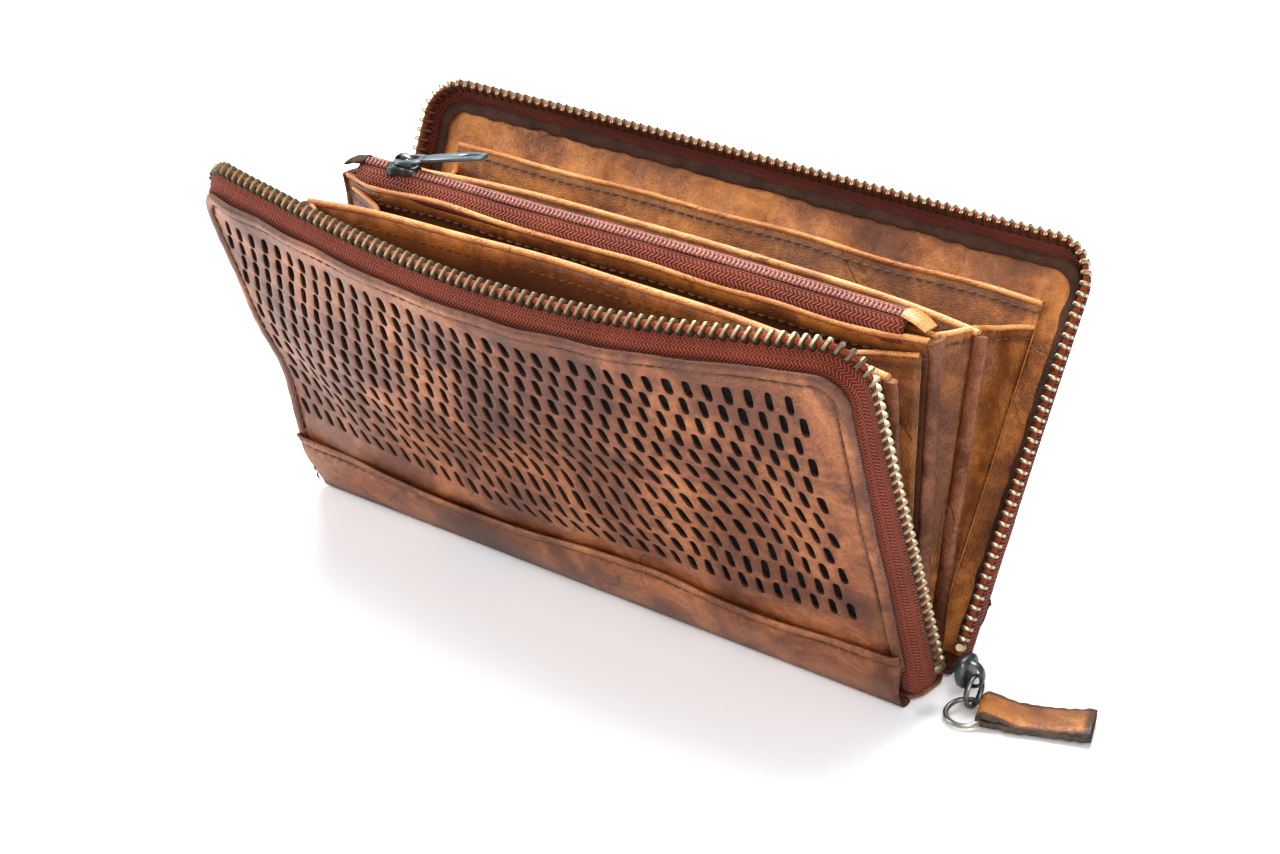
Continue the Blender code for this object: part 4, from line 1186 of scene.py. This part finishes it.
@dataclass
class CoinPocket:
    """The coin pocket: two walls that flare to a coil zip, with its tapes, end tabs, slider and puller."""

    profile: tuple = ((3.6, 2.2), (20, 3.4), (45, 3.8), (62, 3.4), (76, 2.9), (81, 3.2), (84.5, 4.6), (86.3, 5.9))
    zip_half: float = 82 * MM
    slider_x: float = -70 * MM
    coil_pitch: float = 1.25 * MM

    def attach(self, piece: bpy.types.Object, body: str, slot: str, *nodes: str) -> None:
        """Let a piece ride on a body and stand for its nodes."""
        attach(piece, body)
        if nodes:
            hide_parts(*nodes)
        log.info("built %s", piece.name)

    def wave(self, x: np.ndarray) -> np.ndarray:
        """Return the slow sideways wander of the pocket's mouth."""
        return 0.6 * MM * np.sin(x / (38 * MM) + 0.6) + 0.3 * MM * np.sin(x / (15 * MM))

    @staticmethod
    def pinch(x: np.ndarray) -> np.ndarray:
        """Return how the walls draw together at the two sewn ends."""
        return 1 - 0.5 * smooth_step(np.abs(x), 76 * MM, 88 * MM)

    def build(self) -> None:
        """Build the walls, the zip and the metal."""
        seams = Seams("coin_pocket_stitching")
        for name, side in (("front", -1), ("back", 1)):
            self.wall(name, side, seams)
            self.zip_tape(name, side)
        self.side_edges()
        self.coil()
        self.end_tabs()
        self.attach(seams.finish(), "spine", "inner_leather")
        self.slider()
        self.puller()

    def wall(self, name: str, side: int, seams: Seams) -> None:
        """One wall: the pocket's profile carried along the wallet, with a hem at its mouth."""
        x = np.linspace(-INNER_HALF, INNER_HALF, 110)
        heights, offsets = np.array(self.profile).T * MM
        z = np.linspace(heights[0], heights[-1], 40)
        y = np.interp(z, heights, offsets)
        y = np.convolve(np.pad(y, 2, mode="edge"), np.ones(5) / 5, mode="valid")
        if side > 0:
            y = np.minimum(y, 3.9 * MM)
        up = smooth_step(z, 50 * MM, 86 * MM)[:, None]
        dip = 0.5 * MM * ripple(x, x * 0, 21 + side, 50 * MM)[None, :] * up
        points = np.stack(np.broadcast_arrays(x[None, :], side * y[:, None] * self.pinch(x) + self.wave(x) * up,
                                              z[:, None] + dip), axis=-1)
        node = f"coin_pocket_{name}_wall"
        drop = 4.4 * MM if side < 0 else 2.4 * MM
        hemmed_sheet(node + "_leather", ("spine",), node, points, points[-1], (0, side, 0), drop,
                     0.85 * MM)
        hem_path = points[-1] + np.array((0, -side * 0.35, 0.15)) * MM
        shape, faces = tube(hem_path, np.array((0.0, 0.0, 1.0)), 0.85 * MM, 0.8 * MM, 10)
        self.attach(add_piece(node + "_hem", shape, faces, [HEM_LEATHER], closed=True), "spine", "inner_leather")
        row = int(np.argmin(np.abs(z - (z[-1] - drop))))
        normal = unit(np.array((0.0, side * 1.0, -0.45 if row > 34 else 0.0)))
        seams.sew(points[row] + normal * 0.05 * MM, normal)

    def zip_tape(self, name: str, side: int) -> None:
        """One woven tape, from inside the wall's hem up to the coil."""
        x = np.linspace(-self.zip_half - 2 * MM, self.zip_half, 200)
        place = np.array(((0.5, 90.3), (1.6, 90.3), (2.6, 90.0), (3.8, 89.2), (4.9, 87.8), (5.3, 86.4), (4.7, 85.0)))
        across = np.concatenate(([0.0], np.cumsum(np.linalg.norm(np.diff(place, axis=0), axis=1)))) * MM
        y, z = place.T * MM * np.array(((0.70 if side > 0 else 1.0,), (1.0,)))
        lift = 0.15 * MM * ripple(x, x * 0, 31, 30 * MM)
        points = np.stack(np.broadcast_arrays(x[None, :], side * y[:, None] * self.pinch(x * 0.99) + self.wave(x)[None, :],
                                              z[:, None] + lift[None, :]), axis=-1)
        uv = np.stack(np.broadcast_arrays(x[None, :], across[:, None]), axis=-1)
        tape = add_piece(f"coin_zip_woven_tape_{name}", points, grid_faces(*points.shape[:2]), [COIN_TAPE, COIN_TAPE],
                         uv=uv, facing=(0, 0, 1), thickness=0.45 * MM)
        self.attach(tape, "spine", "zip_tape", "coin_zip_tape_" + name)

    def side_edges(self) -> None:
        """The thick dark edges that close the pocket's two ends."""
        for end in End:
            z = np.linspace(4 * MM, 86.5 * MM, 50)
            x = np.full(50, end.value * (INNER_HALF + 0.4 * MM)) + 0.2 * MM * ripple(z, z * 0, 40 + end.value, 14 * MM)
            y = self.wave(x) * smooth_step(z, 50 * MM, 86 * MM)
            heights, offsets = np.array(self.profile).T * MM
            half = np.interp(z, heights, offsets) * 0.5 + 0.6 * MM
            shape, faces = tube(np.stack((x, y, z), axis=1), np.array((1.0, 0.0, 0.0)), half, 1.25 * MM, 16)
            edge = add_piece(f"coin_pocket_side_edge_{end.name.lower()}", shape, faces, [DARK_EDGE], closed=True)
            self.attach(edge, "spine", "inner_leather")

    def coil(self) -> None:
        """The nylon coil: slanted turns on both sides of a middle line, and its cord."""
        x = np.arange(-self.zip_half, self.zip_half, self.coil_pitch)
        shape, faces = pill(2.3 * MM, 0.48 * MM, 0.62 * MM, (-1, -0.8, -0.3, 0.3, 0.8, 1), 8, 0.55)
        centres, axes = [], []
        for side in (-1, 1):
            at = x + (0.5 * self.coil_pitch if side > 0 else 0)
            centres.append(np.stack((at, side * 0.85 * MM + self.wave(at), np.full(len(at), 91.0 * MM)), axis=1))
            turn = np.array(((side * 0.32, 0.93, -side * 0.16), (-0.94, side * 0.33, 0.0), (0.0, 0.16, 0.98)))
            axes.append(np.broadcast_to(unit(turn), (len(at), 3, 3)))
        placed, repeated = copies(shape, faces, np.concatenate(centres), np.concatenate(axes))
        coil = add_piece("coin_zip_nylon_turns", placed, repeated, [COIL_NYLON], closed=True)
        self.attach(coil, "spine", "nylon_coil", "coin_zip_coil")
        line = np.linspace(-self.zip_half, self.zip_half, 120)
        path = np.stack((line, self.wave(line), np.full(120, 90.6 * MM)), axis=1)
        shape, faces = tube(path, np.array((0.0, 0.0, 1.0)), 1.7 * MM, 0.5 * MM, 8)
        self.attach(add_piece("coin_zip_core_cord", shape, faces, [COIL_NYLON], closed=True), "spine", "nylon_coil")

    def end_tabs(self) -> None:
        """The shiny folded leather tab at the right end and the raw scrap at the left."""
        for end, finish in ((End.RIGHT, HEM_LEATHER), (End.LEFT, RAW_EDGE)):
            t = np.linspace(0, 1, 16)
            x = end.value * (self.zip_half + (0.6 if end is End.LEFT else -1.5) * MM + 6.4 * MM * t)
            rough = 0.0 if end is End.RIGHT else 0.5
            z = (90.9 - 2.2 * t ** 2) * MM + rough * MM * ripple(x, x * 0, 51, 3 * MM)
            path = np.stack((x, self.wave(x), z), axis=1)
            wide = (2.5 + 0.4 * np.sin(math.pi * t)) * MM * (1 + 0.2 * rough * ripple(x, x * 0, 52, 4 * MM))
            shape, faces = tube(path, np.array((0.0, 0.0, 1.0)), wide, 1.0 * MM * (1 - 0.4 * t), 14)
            tab = add_piece(f"coin_zip_folded_tab_{end.name.lower()}", shape, faces, [finish], closed=True)
            self.attach(tab, "spine", "inner_leather", "coin_zip_end_tab_" + end.name.lower())

    def slider(self) -> None:
        """The coin slider: a shield-shaped shell with side flanges and a bridge."""
        t = np.linspace(0, 2 * math.pi, 40, endpoint=False)
        long = 4.6 * MM * np.cos(t)
        half = 3.4 * MM * np.abs(np.sin(t)) ** 0.6 * np.sign(np.sin(t)) * (1 - 0.22 * np.cos(t)) * (
            1 - 0.16 * np.exp(-((np.cos(t) - 0.15) / 0.3) ** 2))
        rings = []
        for height, size in ((89.1, 0.93), (89.3, 1.0), (90.6, 1.0), (91.6, 1.0), (92.2, 0.93), (92.45, 0.75),
                             (92.3, 0.55)):
            rings.append(np.stack((self.slider_x + long * size, half * size + self.wave(np.array(self.slider_x)),
                                   np.full(40, height * MM)), axis=1))
        points, faces = sweep(np.array(rings))
        body = add_piece("coin_slider_body", points, faces, [GUNMETAL], wear=0.35, closed=True, sharp=60)
        self.attach(body, "coin_slider", "gunmetal", "coin_slider")
        turn = np.linspace(0, math.pi, 20)
        path = np.stack((self.slider_x - 3.0 * MM * np.cos(turn), np.full(20, float(self.wave(np.array(self.slider_x)))),
                         91.7 * MM + 3.2 * MM * np.sin(turn) ** 0.8), axis=1)
        points, faces = tube(path, np.array((0.0, 1.0, 0.0)), 0.36 * MM, 0.95 * MM, 10)
        self.attach(add_piece("coin_slider_bridge", points, faces, [GUNMETAL], wear=0.6, closed=True), "coin_slider",
                    "gunmetal")

    def puller(self) -> None:
        """The flat puller: a round eye through the bridge and a tapered plate with a long slot."""
        pivot = np.array((self.slider_x, float(self.wave(np.array(self.slider_x))), 93.5 * MM))
        yaw, tilt = math.radians(20), math.radians(9)
        ahead = np.array((math.cos(yaw) * math.cos(tilt), math.sin(yaw) * math.cos(tilt), math.sin(tilt)))
        side = np.array((-math.sin(yaw), math.cos(yaw), 0.0))
        axes = np.stack((ahead, side, np.cross(ahead, side)))
        t = np.linspace(0, 2 * math.pi, 48, endpoint=False)
        c, s = np.cos(t), np.sin(t)
        pieces = []
        for middle, long, wide, hole_at, hole_long, hole_wide in ((1.7, 4.4, 3.1, 1.6, 2.9, 1.9),
                                                                 (13.2, 9.3, 2.6, 18.2, 2.9, 1.0)):
            power = 0.85 if middle > 5 else 1.0
            outer = np.stack((middle + long * np.sign(c) * np.abs(c) ** power,
                              wide * np.sign(s) * np.abs(s) ** (power * 0.75) * (1 - 0.06 * c)), axis=1)
            inner = np.stack((hole_at + hole_long * c, hole_wide * np.sign(s) * np.abs(s) ** 0.8), axis=1)
            near = outer + (inner - outer) * 0.10
            lip = inner + (outer - inner) * 0.06
            rings = [(outer, -0.36), (outer, 0.30), (near, 0.46), (lip, 0.46), (inner, 0.32), (inner, -0.36),
                     (near, -0.46)]
            ring = np.array([np.column_stack((shape, np.full(48, z))) for shape, z in rings]) * MM
            pieces.append((ring.reshape(-1, 3), grid_faces(7, 48, True, True).tolist()))
        for (shape, faces), name in zip(pieces, ("coin_puller_ring", "coin_puller_plate")):
            made = add_piece(name, pivot + shape @ axes, faces, [PULLER_STEEL], wear=0.4, closed=True, sharp=42)
            nodes = ("coin_puller",) if name.endswith("plate") else ()
            self.attach(made, "coin_puller", "gunmetal", *nodes)


@dataclass
class Gusset:
    """A pleat of soft leather between two panels at one end of the wallet."""

    name: str
    bodies: tuple
    depth: float
    near: object
    far: object
    plane: tuple
    seed: int
    left_after: float = 3.0 * MM
    top: float = 80.5 * MM

    def build(self) -> None:
        """Build the pleat at both ends: x = edge - depth * fold(p) * height^0.7, with y and z between the panels."""
        for end in End:
            p = np.linspace(0, 1, 25)[None, :]
            v = np.linspace(4 * MM, self.top, 60)[:, None]
            grid_p, grid_v = np.broadcast_arrays(p, v)
            x_edge = end.value * 86.4 * MM
            a = self.near(np.full(grid_v.shape, x_edge), grid_v)
            b = self.far(np.full(grid_v.shape, x_edge), grid_v)
            points = a + (b - a) * grid_p[..., None]
            fold = (1 - np.abs(2 * grid_p - 1) ** 1.5) * (grid_v / self.top) ** 0.7
            crumple = ripple(grid_p * 30 * MM + grid_v * 0.5, grid_v - grid_p * 14 * MM, self.seed + end.value, 15 * MM)
            soft = np.sin(math.pi * grid_p)
            points[..., 0] = x_edge - end.value * (self.depth * fold + 0.9 * MM * crumple * soft)
            points[..., 2] += -1.2 * MM * soft * (grid_v / self.top) ** 3
            # Painted shade: a dark line along the stitched groove under the hem, and darkening at both sides where the
            # pleat meets its panels.
            wear = 0.55 * np.exp(-((self.top - grid_v - 2.6 * MM) / (0.6 * MM)) ** 2) + 0.25 * (1 - soft)
            label = f"{self.name}_{end.name.lower()}"
            pleat = add_piece("pleat_" + label, points, grid_faces(*grid_v.shape), [INNER_LEATHER, HEM_LEATHER],
                              wear=np.clip(wear, 0, 1), facing=(end.value, 0, 0), thickness=0.9 * MM)
            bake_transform(pleat)
            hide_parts("gusset_" + label)
            hem, faces = tube(points[-1] + np.array((-end.value * 0.45 * MM, 0, 0.1 * MM)), np.array((0.0, 0.0, 1.0)),
                              0.75 * MM, 0.65 * MM, 8)
            rolled = add_piece(f"pleat_{label}_hem", hem, faces, [HEM_LEATHER], closed=True)
            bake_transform(rolled)
            seams = Seams(f"pleat_{label}_stitching")
            seams.sew(points[-3], np.array((float(end.value), 0.0, 0.0)))
            thread = seams.finish()
            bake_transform(thread)
            log.info("built %s", label)


def coin_side(side: int) -> object:
    """Return the function that gives the coin pocket's outer face at a height."""
    def place(x: np.ndarray, v: np.ndarray) -> np.ndarray:
        """Return world points on the face."""
        return np.stack((x, np.full(x.shape, side * 2.6 * MM), HINGE_Z + v), axis=-1)
    return place


def leaf_side(leaf: Leaf, depth: float) -> object:
    """Return the function that gives a panel's face at a depth."""
    def place(x: np.ndarray, v: np.ndarray) -> np.ndarray:
        """Return world points on the face."""
        return leaf.world(x, v, np.full(x.shape, depth))
    return place


# ---------------------------------------------------------------- slider and pull


@dataclass
class MainPull:
    """The main slider, its strap link, the wire ring and the folded leather tab."""

    top: tuple = (104.4 * MM, 0.0, 8.2 * MM)
    direction: tuple = (0.03, -0.35, -0.94)
    link_half: float = 3.6 * MM
    ring_radius: float = 4.6 * MM
    ring_slope: float = 12.0
    ring_turn: float = 15.0
    eye_angle: float = 45.0
    tab_azimuth: float = 23.0
    tab_length: float = 24.5 * MM

    def build(self) -> None:
        """Build the four moving pieces."""
        self.slider()
        self.link()
        self.ring()
        self.tab()

    def attach(self, piece: bpy.types.Object, body: str, slot: str, *nodes: str) -> None:
        """Let a piece ride on a body and stand for its nodes."""
        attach(piece, body)
        if nodes:
            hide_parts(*nodes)
        log.info("built %s", piece.name)

    def slider(self) -> None:
        """The slider: a domed shield plate with rolled flanges and a strap bridge."""
        low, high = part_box("main_slider")
        t = np.linspace(0, 2 * math.pi, 48, endpoint=False)
        c, s = np.cos(t), np.sin(t)
        middle_z = 8.4 * MM
        tall = 4.1 * MM * s
        half = 4.1 * MM * np.sign(c) * np.abs(c) ** 0.65 * (0.86 + 0.18 * s)
        rings = []
        for x, size in ((100.3, 0.80), (100.45, 0.97), (101.2, 1.0), (102.0, 1.0), (102.5, 0.93), (102.85, 0.78),
                        (102.95, 0.5)):
            rings.append(np.stack((np.full(48, x * MM), half * size, middle_z + tall * size), axis=1))
        points, faces = sweep(np.array(rings))
        self.attach(add_piece("main_slider_body", points, faces, [GUNMETAL], wear=0.45, closed=True, sharp=60),
                    "main_slider", "gunmetal", "main_slider")
        turn = np.linspace(0, math.pi, 20)
        path = np.stack((102.2 * MM + (high.x - 102.6 * MM) * np.sin(turn) ** 0.75, np.zeros(20),
                         8.2 * MM - 3.1 * MM * np.cos(turn)), axis=1)
        points, faces = tube(path, np.array((0.0, 1.0, 0.0)), 0.38 * MM, 1.0 * MM, 10)
        self.attach(add_piece("main_slider_bridge", points, faces, [GUNMETAL], wear=0.7, closed=True), "main_slider",
                    "gunmetal")

    def link(self) -> None:
        """The link: a flat strap bent to an oval."""
        down = unit(np.array(self.direction))
        across = unit(np.cross(down, (1.0, 0.0, 0.0)))
        normal = np.cross(down, across)
        centre = np.array(self.top) + down * self.link_half
        t = np.linspace(0, 2 * math.pi, 56, endpoint=False)[:, None]
        path = centre + down * (3.75 * MM * np.cos(t)) + across * (3.35 * MM * np.sin(t))
        points, faces = tube(path, np.broadcast_to(normal, path.shape), 0.42 * MM, 0.72 * MM, 8, loop=True)
        self.attach(add_piece("pull_strap_link", points, faces, [WIRE_STEEL], wear=0.25, closed=True), "pull_link",
                    "gunmetal", "pull_link")

    def ring_places(self) -> tuple[np.ndarray, np.ndarray]:
        """Return the ring's centre and its up direction."""
        slope = math.radians(self.ring_slope)
        up = np.array((0.0, math.cos(slope), math.sin(slope)))
        down = unit(np.array(self.direction))
        top = np.array(self.top) + down * (2 * self.link_half - (0.6 + 0.62 + 0.35) * MM)
        return top - self.on_ring(up, 90 + self.ring_turn), up

    def on_ring(self, up: np.ndarray, degrees: float) -> np.ndarray:
        """Return the step from the ring's centre to a place on its wire."""
        angle = math.radians(degrees)
        return (np.array((math.cos(angle), 0, 0)) + up * math.sin(angle)) * self.ring_radius

    def ring(self) -> None:
        """The round wire ring."""
        centre, up = self.ring_places()
        t = np.linspace(0, 2 * math.pi, 64, endpoint=False)[:, None]
        path = centre + np.array((1.0, 0, 0)) * self.ring_radius * np.cos(t) + up * self.ring_radius * np.sin(t)
        normal = np.cross((1.0, 0, 0), up)
        points, faces = tube(path, np.broadcast_to(normal, path.shape), 0.62 * MM, 0.62 * MM, 12, loop=True)
        self.attach(add_piece("pull_wire_ring", points, faces, [WIRE_STEEL], wear=0.6, closed=True), "pull_ring",
                    "gunmetal", "pull_ring")

    def tab(self) -> None:
        """The tab: a strip folded round the ring, its two layers apart at their raw edges and sagging between ends."""
        centre, up = self.ring_places()
        eye = centre + self.on_ring(up, self.eye_angle)
        turn = math.radians(self.tab_azimuth)
        ahead, side = np.array((math.cos(turn), math.sin(turn), 0.0)), np.array((-math.sin(turn), math.cos(turn), 0.0))
        fold = 1.75 * MM
        arc = np.radians(np.linspace(90, 270, 13)[1:-1])
        s_back = np.linspace(self.tab_length, 3.0 * MM, 44)
        share = s_back / self.tab_length
        sag = 0.9 * MM * np.sin(math.pi * np.clip(share * 1.05, 0, 1)) - 0.8 * MM * share ** 3
        floor = -eye[2] + 0.85 * MM
        upper = np.maximum(1.75 * MM - 1.4 * MM * smooth_step(s_back, 2 * MM, 8 * MM), 0) + (floor + 1.95 * MM) * (
            smooth_step(s_back, 2 * MM, 8 * MM)) - sag * 0.75
        lower = np.full(len(s_back), floor) + 0.25 * MM * share ** 2
        line_s = np.concatenate((s_back, fold * 1.35 * np.cos(arc) + 0.6 * MM, s_back[::-1]))
        line_z = np.concatenate((upper, fold * np.sin(arc), lower[::-1]))
        y = np.linspace(-1, 1, 19)
        reach = np.maximum(np.where(np.abs(np.arange(len(line_s)) - 49) < 50, line_s, line_s), 0)
        half = (5.0 + 0.75 * smooth_step(reach, 1 * MM, 7 * MM)) * MM
        rough = 0.28 * MM * ripple(line_s[:, None] * np.ones(19), np.sign(line_z)[:, None] * 9 * MM * np.ones(19), 71,
                                   3.2 * MM)
        width = y[None, :] * (half[:, None] + rough * np.abs(y[None, :]) ** 4)
        crown = 0.55 * MM * (1 - y[None, :] ** 2) ** 0.6 * smooth_step(line_s, 1 * MM, 6 * MM)[:, None]
        is_upper = (np.arange(len(line_s)) < len(s_back))[:, None]
        groove = 0.32 * MM * np.exp(-((np.abs(y[None, :]) - 0.78) / 0.07) ** 2)
        ribs = 0.10 * MM * np.sin(line_s[:, None] * 2 * math.pi / (0.95 * MM)) * (1 - y[None, :] ** 4)
        height = line_z[:, None] + np.where(is_upper, crown - groove + ribs - 0.35 * MM, 0.0)
        points = (eye + ahead * line_s[:, None, None] + side * width[..., None]
                  + np.array((0.0, 0.0, 1.0)) * height[..., None])
        end_dark = smooth_step(line_s, self.tab_length - 2.6 * MM, self.tab_length - 1.2 * MM)[:, None]
        wear = np.clip(0.9 * smooth_step(np.abs(y), 0.72, 0.90)[None, :] + end_dark, 0, 1)
        tab = add_piece("pull_tab_leather", points, grid_faces(*width.shape), [INNER_LEATHER, CORE_EDGE], wear=wear,
                        thickness=1.35 * MM)
        normals = np.zeros(len(tab.data.polygons) * 3)
        tab.data.polygons.foreach_get("normal", normals)
        if normals.reshape(-1, 3)[: 18 * 30, 2].sum() < 0:
            tab.data.flip_normals()
        self.attach(tab, "pull_tab", "inner_leather", "pull_tab")
        core_s = np.linspace(6.0 * MM, self.tab_length - 0.4 * MM, 40)
        gap = np.interp(core_s, s_back[::-1], upper[::-1])
        path = eye + ahead * core_s[:, None] + np.array((0.0, 0, 1.0)) * ((gap + floor) / 2 - 0.35 * MM)[:, None]
        shape, faces = tube(path, np.array((0.0, 0.0, 1.0)), 5.1 * MM, 0.75 * MM, 16)
        self.attach(add_piece("pull_tab_glued_core", shape, faces, [CORE_EDGE], closed=True), "pull_tab",
                    "inner_leather")


# ---------------------------------------------------------------- base, stage and camera


@dataclass
class Spine:
    """The flat strip that the wallet stands on, with its board and lining."""

    half_length: float = 92.6 * MM
    half_width: float = 7.4 * MM

    def build(self) -> None:
        """Build the strip as a softly rounded pad and dress the inner layers."""
        for name, node, low, high, inset, finish, slot in (
                ("base_strip", "spine_leather", 0.0, 1.3, 0.0, OUTER_LEATHER, "outer_leather"),
                ("base_lining", "spine_lining", 2.5, 3.1, 0.6, INNER_LEATHER, "inner_leather"),
                ("base_board", "spine_board", 1.6, 2.2, 1.2, BACKING, "fibre_board")):
            x = np.linspace(-self.half_length + inset * MM, self.half_length - inset * MM, 120)
            path = np.stack((x, np.zeros(120), np.full(120, (low + high) / 2 * MM)), axis=1)
            turn = (np.arange(24) + 0.5) / 24 * 2 * math.pi
            c, s = np.cos(turn), np.sin(turn)
            end = np.clip((self.half_length - np.abs(x)) / (1.2 * MM), 0.3, 1) ** 0.5
            y = np.sign(c) * np.abs(c) ** 0.3 * (self.half_width - inset * MM)
            z = np.sign(s) * np.abs(s) ** 0.6 * (high - low) / 2 * MM
            rings = path[:, None, :] + np.stack((0 * end[:, None] * y, end[:, None] * y, end[:, None] * z), axis=-1)
            points, faces = sweep(rings)
            strip = add_piece(name, points, faces, [finish], closed=True)
            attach(strip, "spine")
            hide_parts(node)
            log.info("built %s", name)


@dataclass
class Studio:
    """The pale floor, the soft lights and the camera."""

    place: tuple = (0.371, -0.459, 0.309)
    yaw: float = 38.5
    pitch: float = 24.5
    roll: float = 0.46
    lens: float = 74.6

    def build(self) -> None:
        """Build everything round the object."""
        self.floor()
        self.world()
        self.light("key_softbox", (-0.25, 0.30, 0.95), 0.8, 22.0)
        self.light("front_softbox", (0.75, -0.95, 0.75), 0.7, 12.0)
        self.light("left_softbox", (-0.95, -0.55, 0.55), 0.6, 8.0)
        self.camera()

    def floor(self) -> None:
        """The plain pale floor."""
        x, y = np.meshgrid(np.linspace(-4, 4, 9), np.linspace(-4, 4, 9))
        shader = Shader("pale_floor")
        tone = shader.noise(shader.objects(), 6, 2)
        colour = shader.mix(tone, (0.86, 0.87, 0.89), (0.90, 0.905, 0.92))
        shader.finish(Base_Color=colour, Roughness=0.75)
        mesh = bpy.data.meshes.new("floor")
        mesh.from_pydata(np.stack((x, y, 0 * x - 0.0001), axis=-1).reshape(-1, 3).tolist(), [],
                         grid_faces(9, 9).tolist())
        mesh.materials.append(shader.material)
        floor = bpy.data.objects.new("floor", mesh)
        bpy.context.scene.collection.objects.link(floor)

    def world(self) -> None:
        """A bright even surround."""
        world = bpy.data.worlds.new("studio")
        world.use_nodes = True
        world.node_tree.nodes["Background"].inputs["Color"].default_value = (0.98, 0.99, 1.0, 1.0)
        world.node_tree.nodes["Background"].inputs["Strength"].default_value = 0.38
        bpy.context.scene.world = world

    def light(self, name: str, place: tuple, size: float, power: float) -> None:
        """Add a square softbox aimed at the wallet."""
        lamp = bpy.data.lights.new(name, "AREA")
        lamp.size = size
        lamp.energy = power
        made = bpy.data.objects.new(name, lamp)
        made.location = place
        made.rotation_euler = (Vector((0, 0, 0.04)) - Vector(place)).to_track_quat("-Z", "Y").to_euler()
        bpy.context.scene.collection.objects.link(made)

    def camera(self) -> None:
        """The camera at the fitted place."""
        lens = bpy.data.cameras.new("camera")
        lens.lens = self.lens
        lens.sensor_width = 36
        lens.clip_start = 0.01
        camera = bpy.data.objects.new("camera", lens)
        turn = (Matrix.Rotation(math.radians(self.yaw), 4, "Z") @ Matrix.Rotation(math.radians(90 - self.pitch), 4, "X")
                @ Matrix.Rotation(math.radians(self.roll), 4, "Z"))
        camera.matrix_world = Matrix.Translation(self.place) @ turn
        bpy.context.scene.collection.objects.link(camera)
        bpy.context.scene.camera = camera
        bpy.context.scene.view_settings.view_transform = "Standard"
        bpy.context.scene.view_settings.look = "Medium High Contrast"


def main() -> None:
    """Build the wallet piece by piece."""
    logging.basicConfig(level=logging.INFO, format="%(message)s")
    front = Leaf(1, 20.5, 20.0, 7.8, 1.7, FRONT_DENTS)
    back = Leaf(-1, 19.5, 28.5, 2.3, 2.0, BACK_DENTS)
    for name, leaf, seed in (("front", front, 100), ("back", back, 200)):
        Cover(name, leaf, seed, ()).build()
    Divider("front", DIVIDER_FRONT, 4.6 * MM,
            ("spine", "front_divider", *across_plane(1, 6.9 * MM, 5.6, 1.6 * MM, 1.6 * MM))).build()
    Divider("back", DIVIDER_BACK, 2.2 * MM, ("back_divider", "back_cover", *across_plane(-1, 7.0 * MM, 8.8, 0, 15 * MM)),
            22.0, 2.2 * MM).build()
    CoinPocket().build()
    inner, outer = DIVIDER_DEPTH + 0.6 * MM, DIVIDER_DEPTH - 0.6 * MM
    near = 3.0 * MM
    Gusset("inner_front", ("spine", "front_divider"), 15 * MM, coin_side(-1), leaf_side(DIVIDER_FRONT, inner),
           (1, 4.8 * MM, 4.0, near), 301).build()
    Gusset("outer_front", ("front_divider", "front_cover"), 13 * MM, leaf_side(DIVIDER_FRONT, outer),
           leaf_side(front, 4.3 * MM), (1, 7.6 * MM, 14.2, near), 302).build()
    Gusset("inner_back", ("spine", "back_divider"), 6 * MM, coin_side(1), leaf_side(DIVIDER_BACK, inner),
           (-1, 4.8 * MM, 4.2, near), 303).build()
    Gusset("outer_back", ("back_divider", "back_cover"), 5 * MM, leaf_side(DIVIDER_BACK, outer),
           leaf_side(back, 4.4 * MM), (-1, 7.6 * MM, 15.0, near), 304, 12 * MM).build()
    Spine().build()
    MainPull().build()
    Studio().build()


if __name__ == "__main__":
    main()
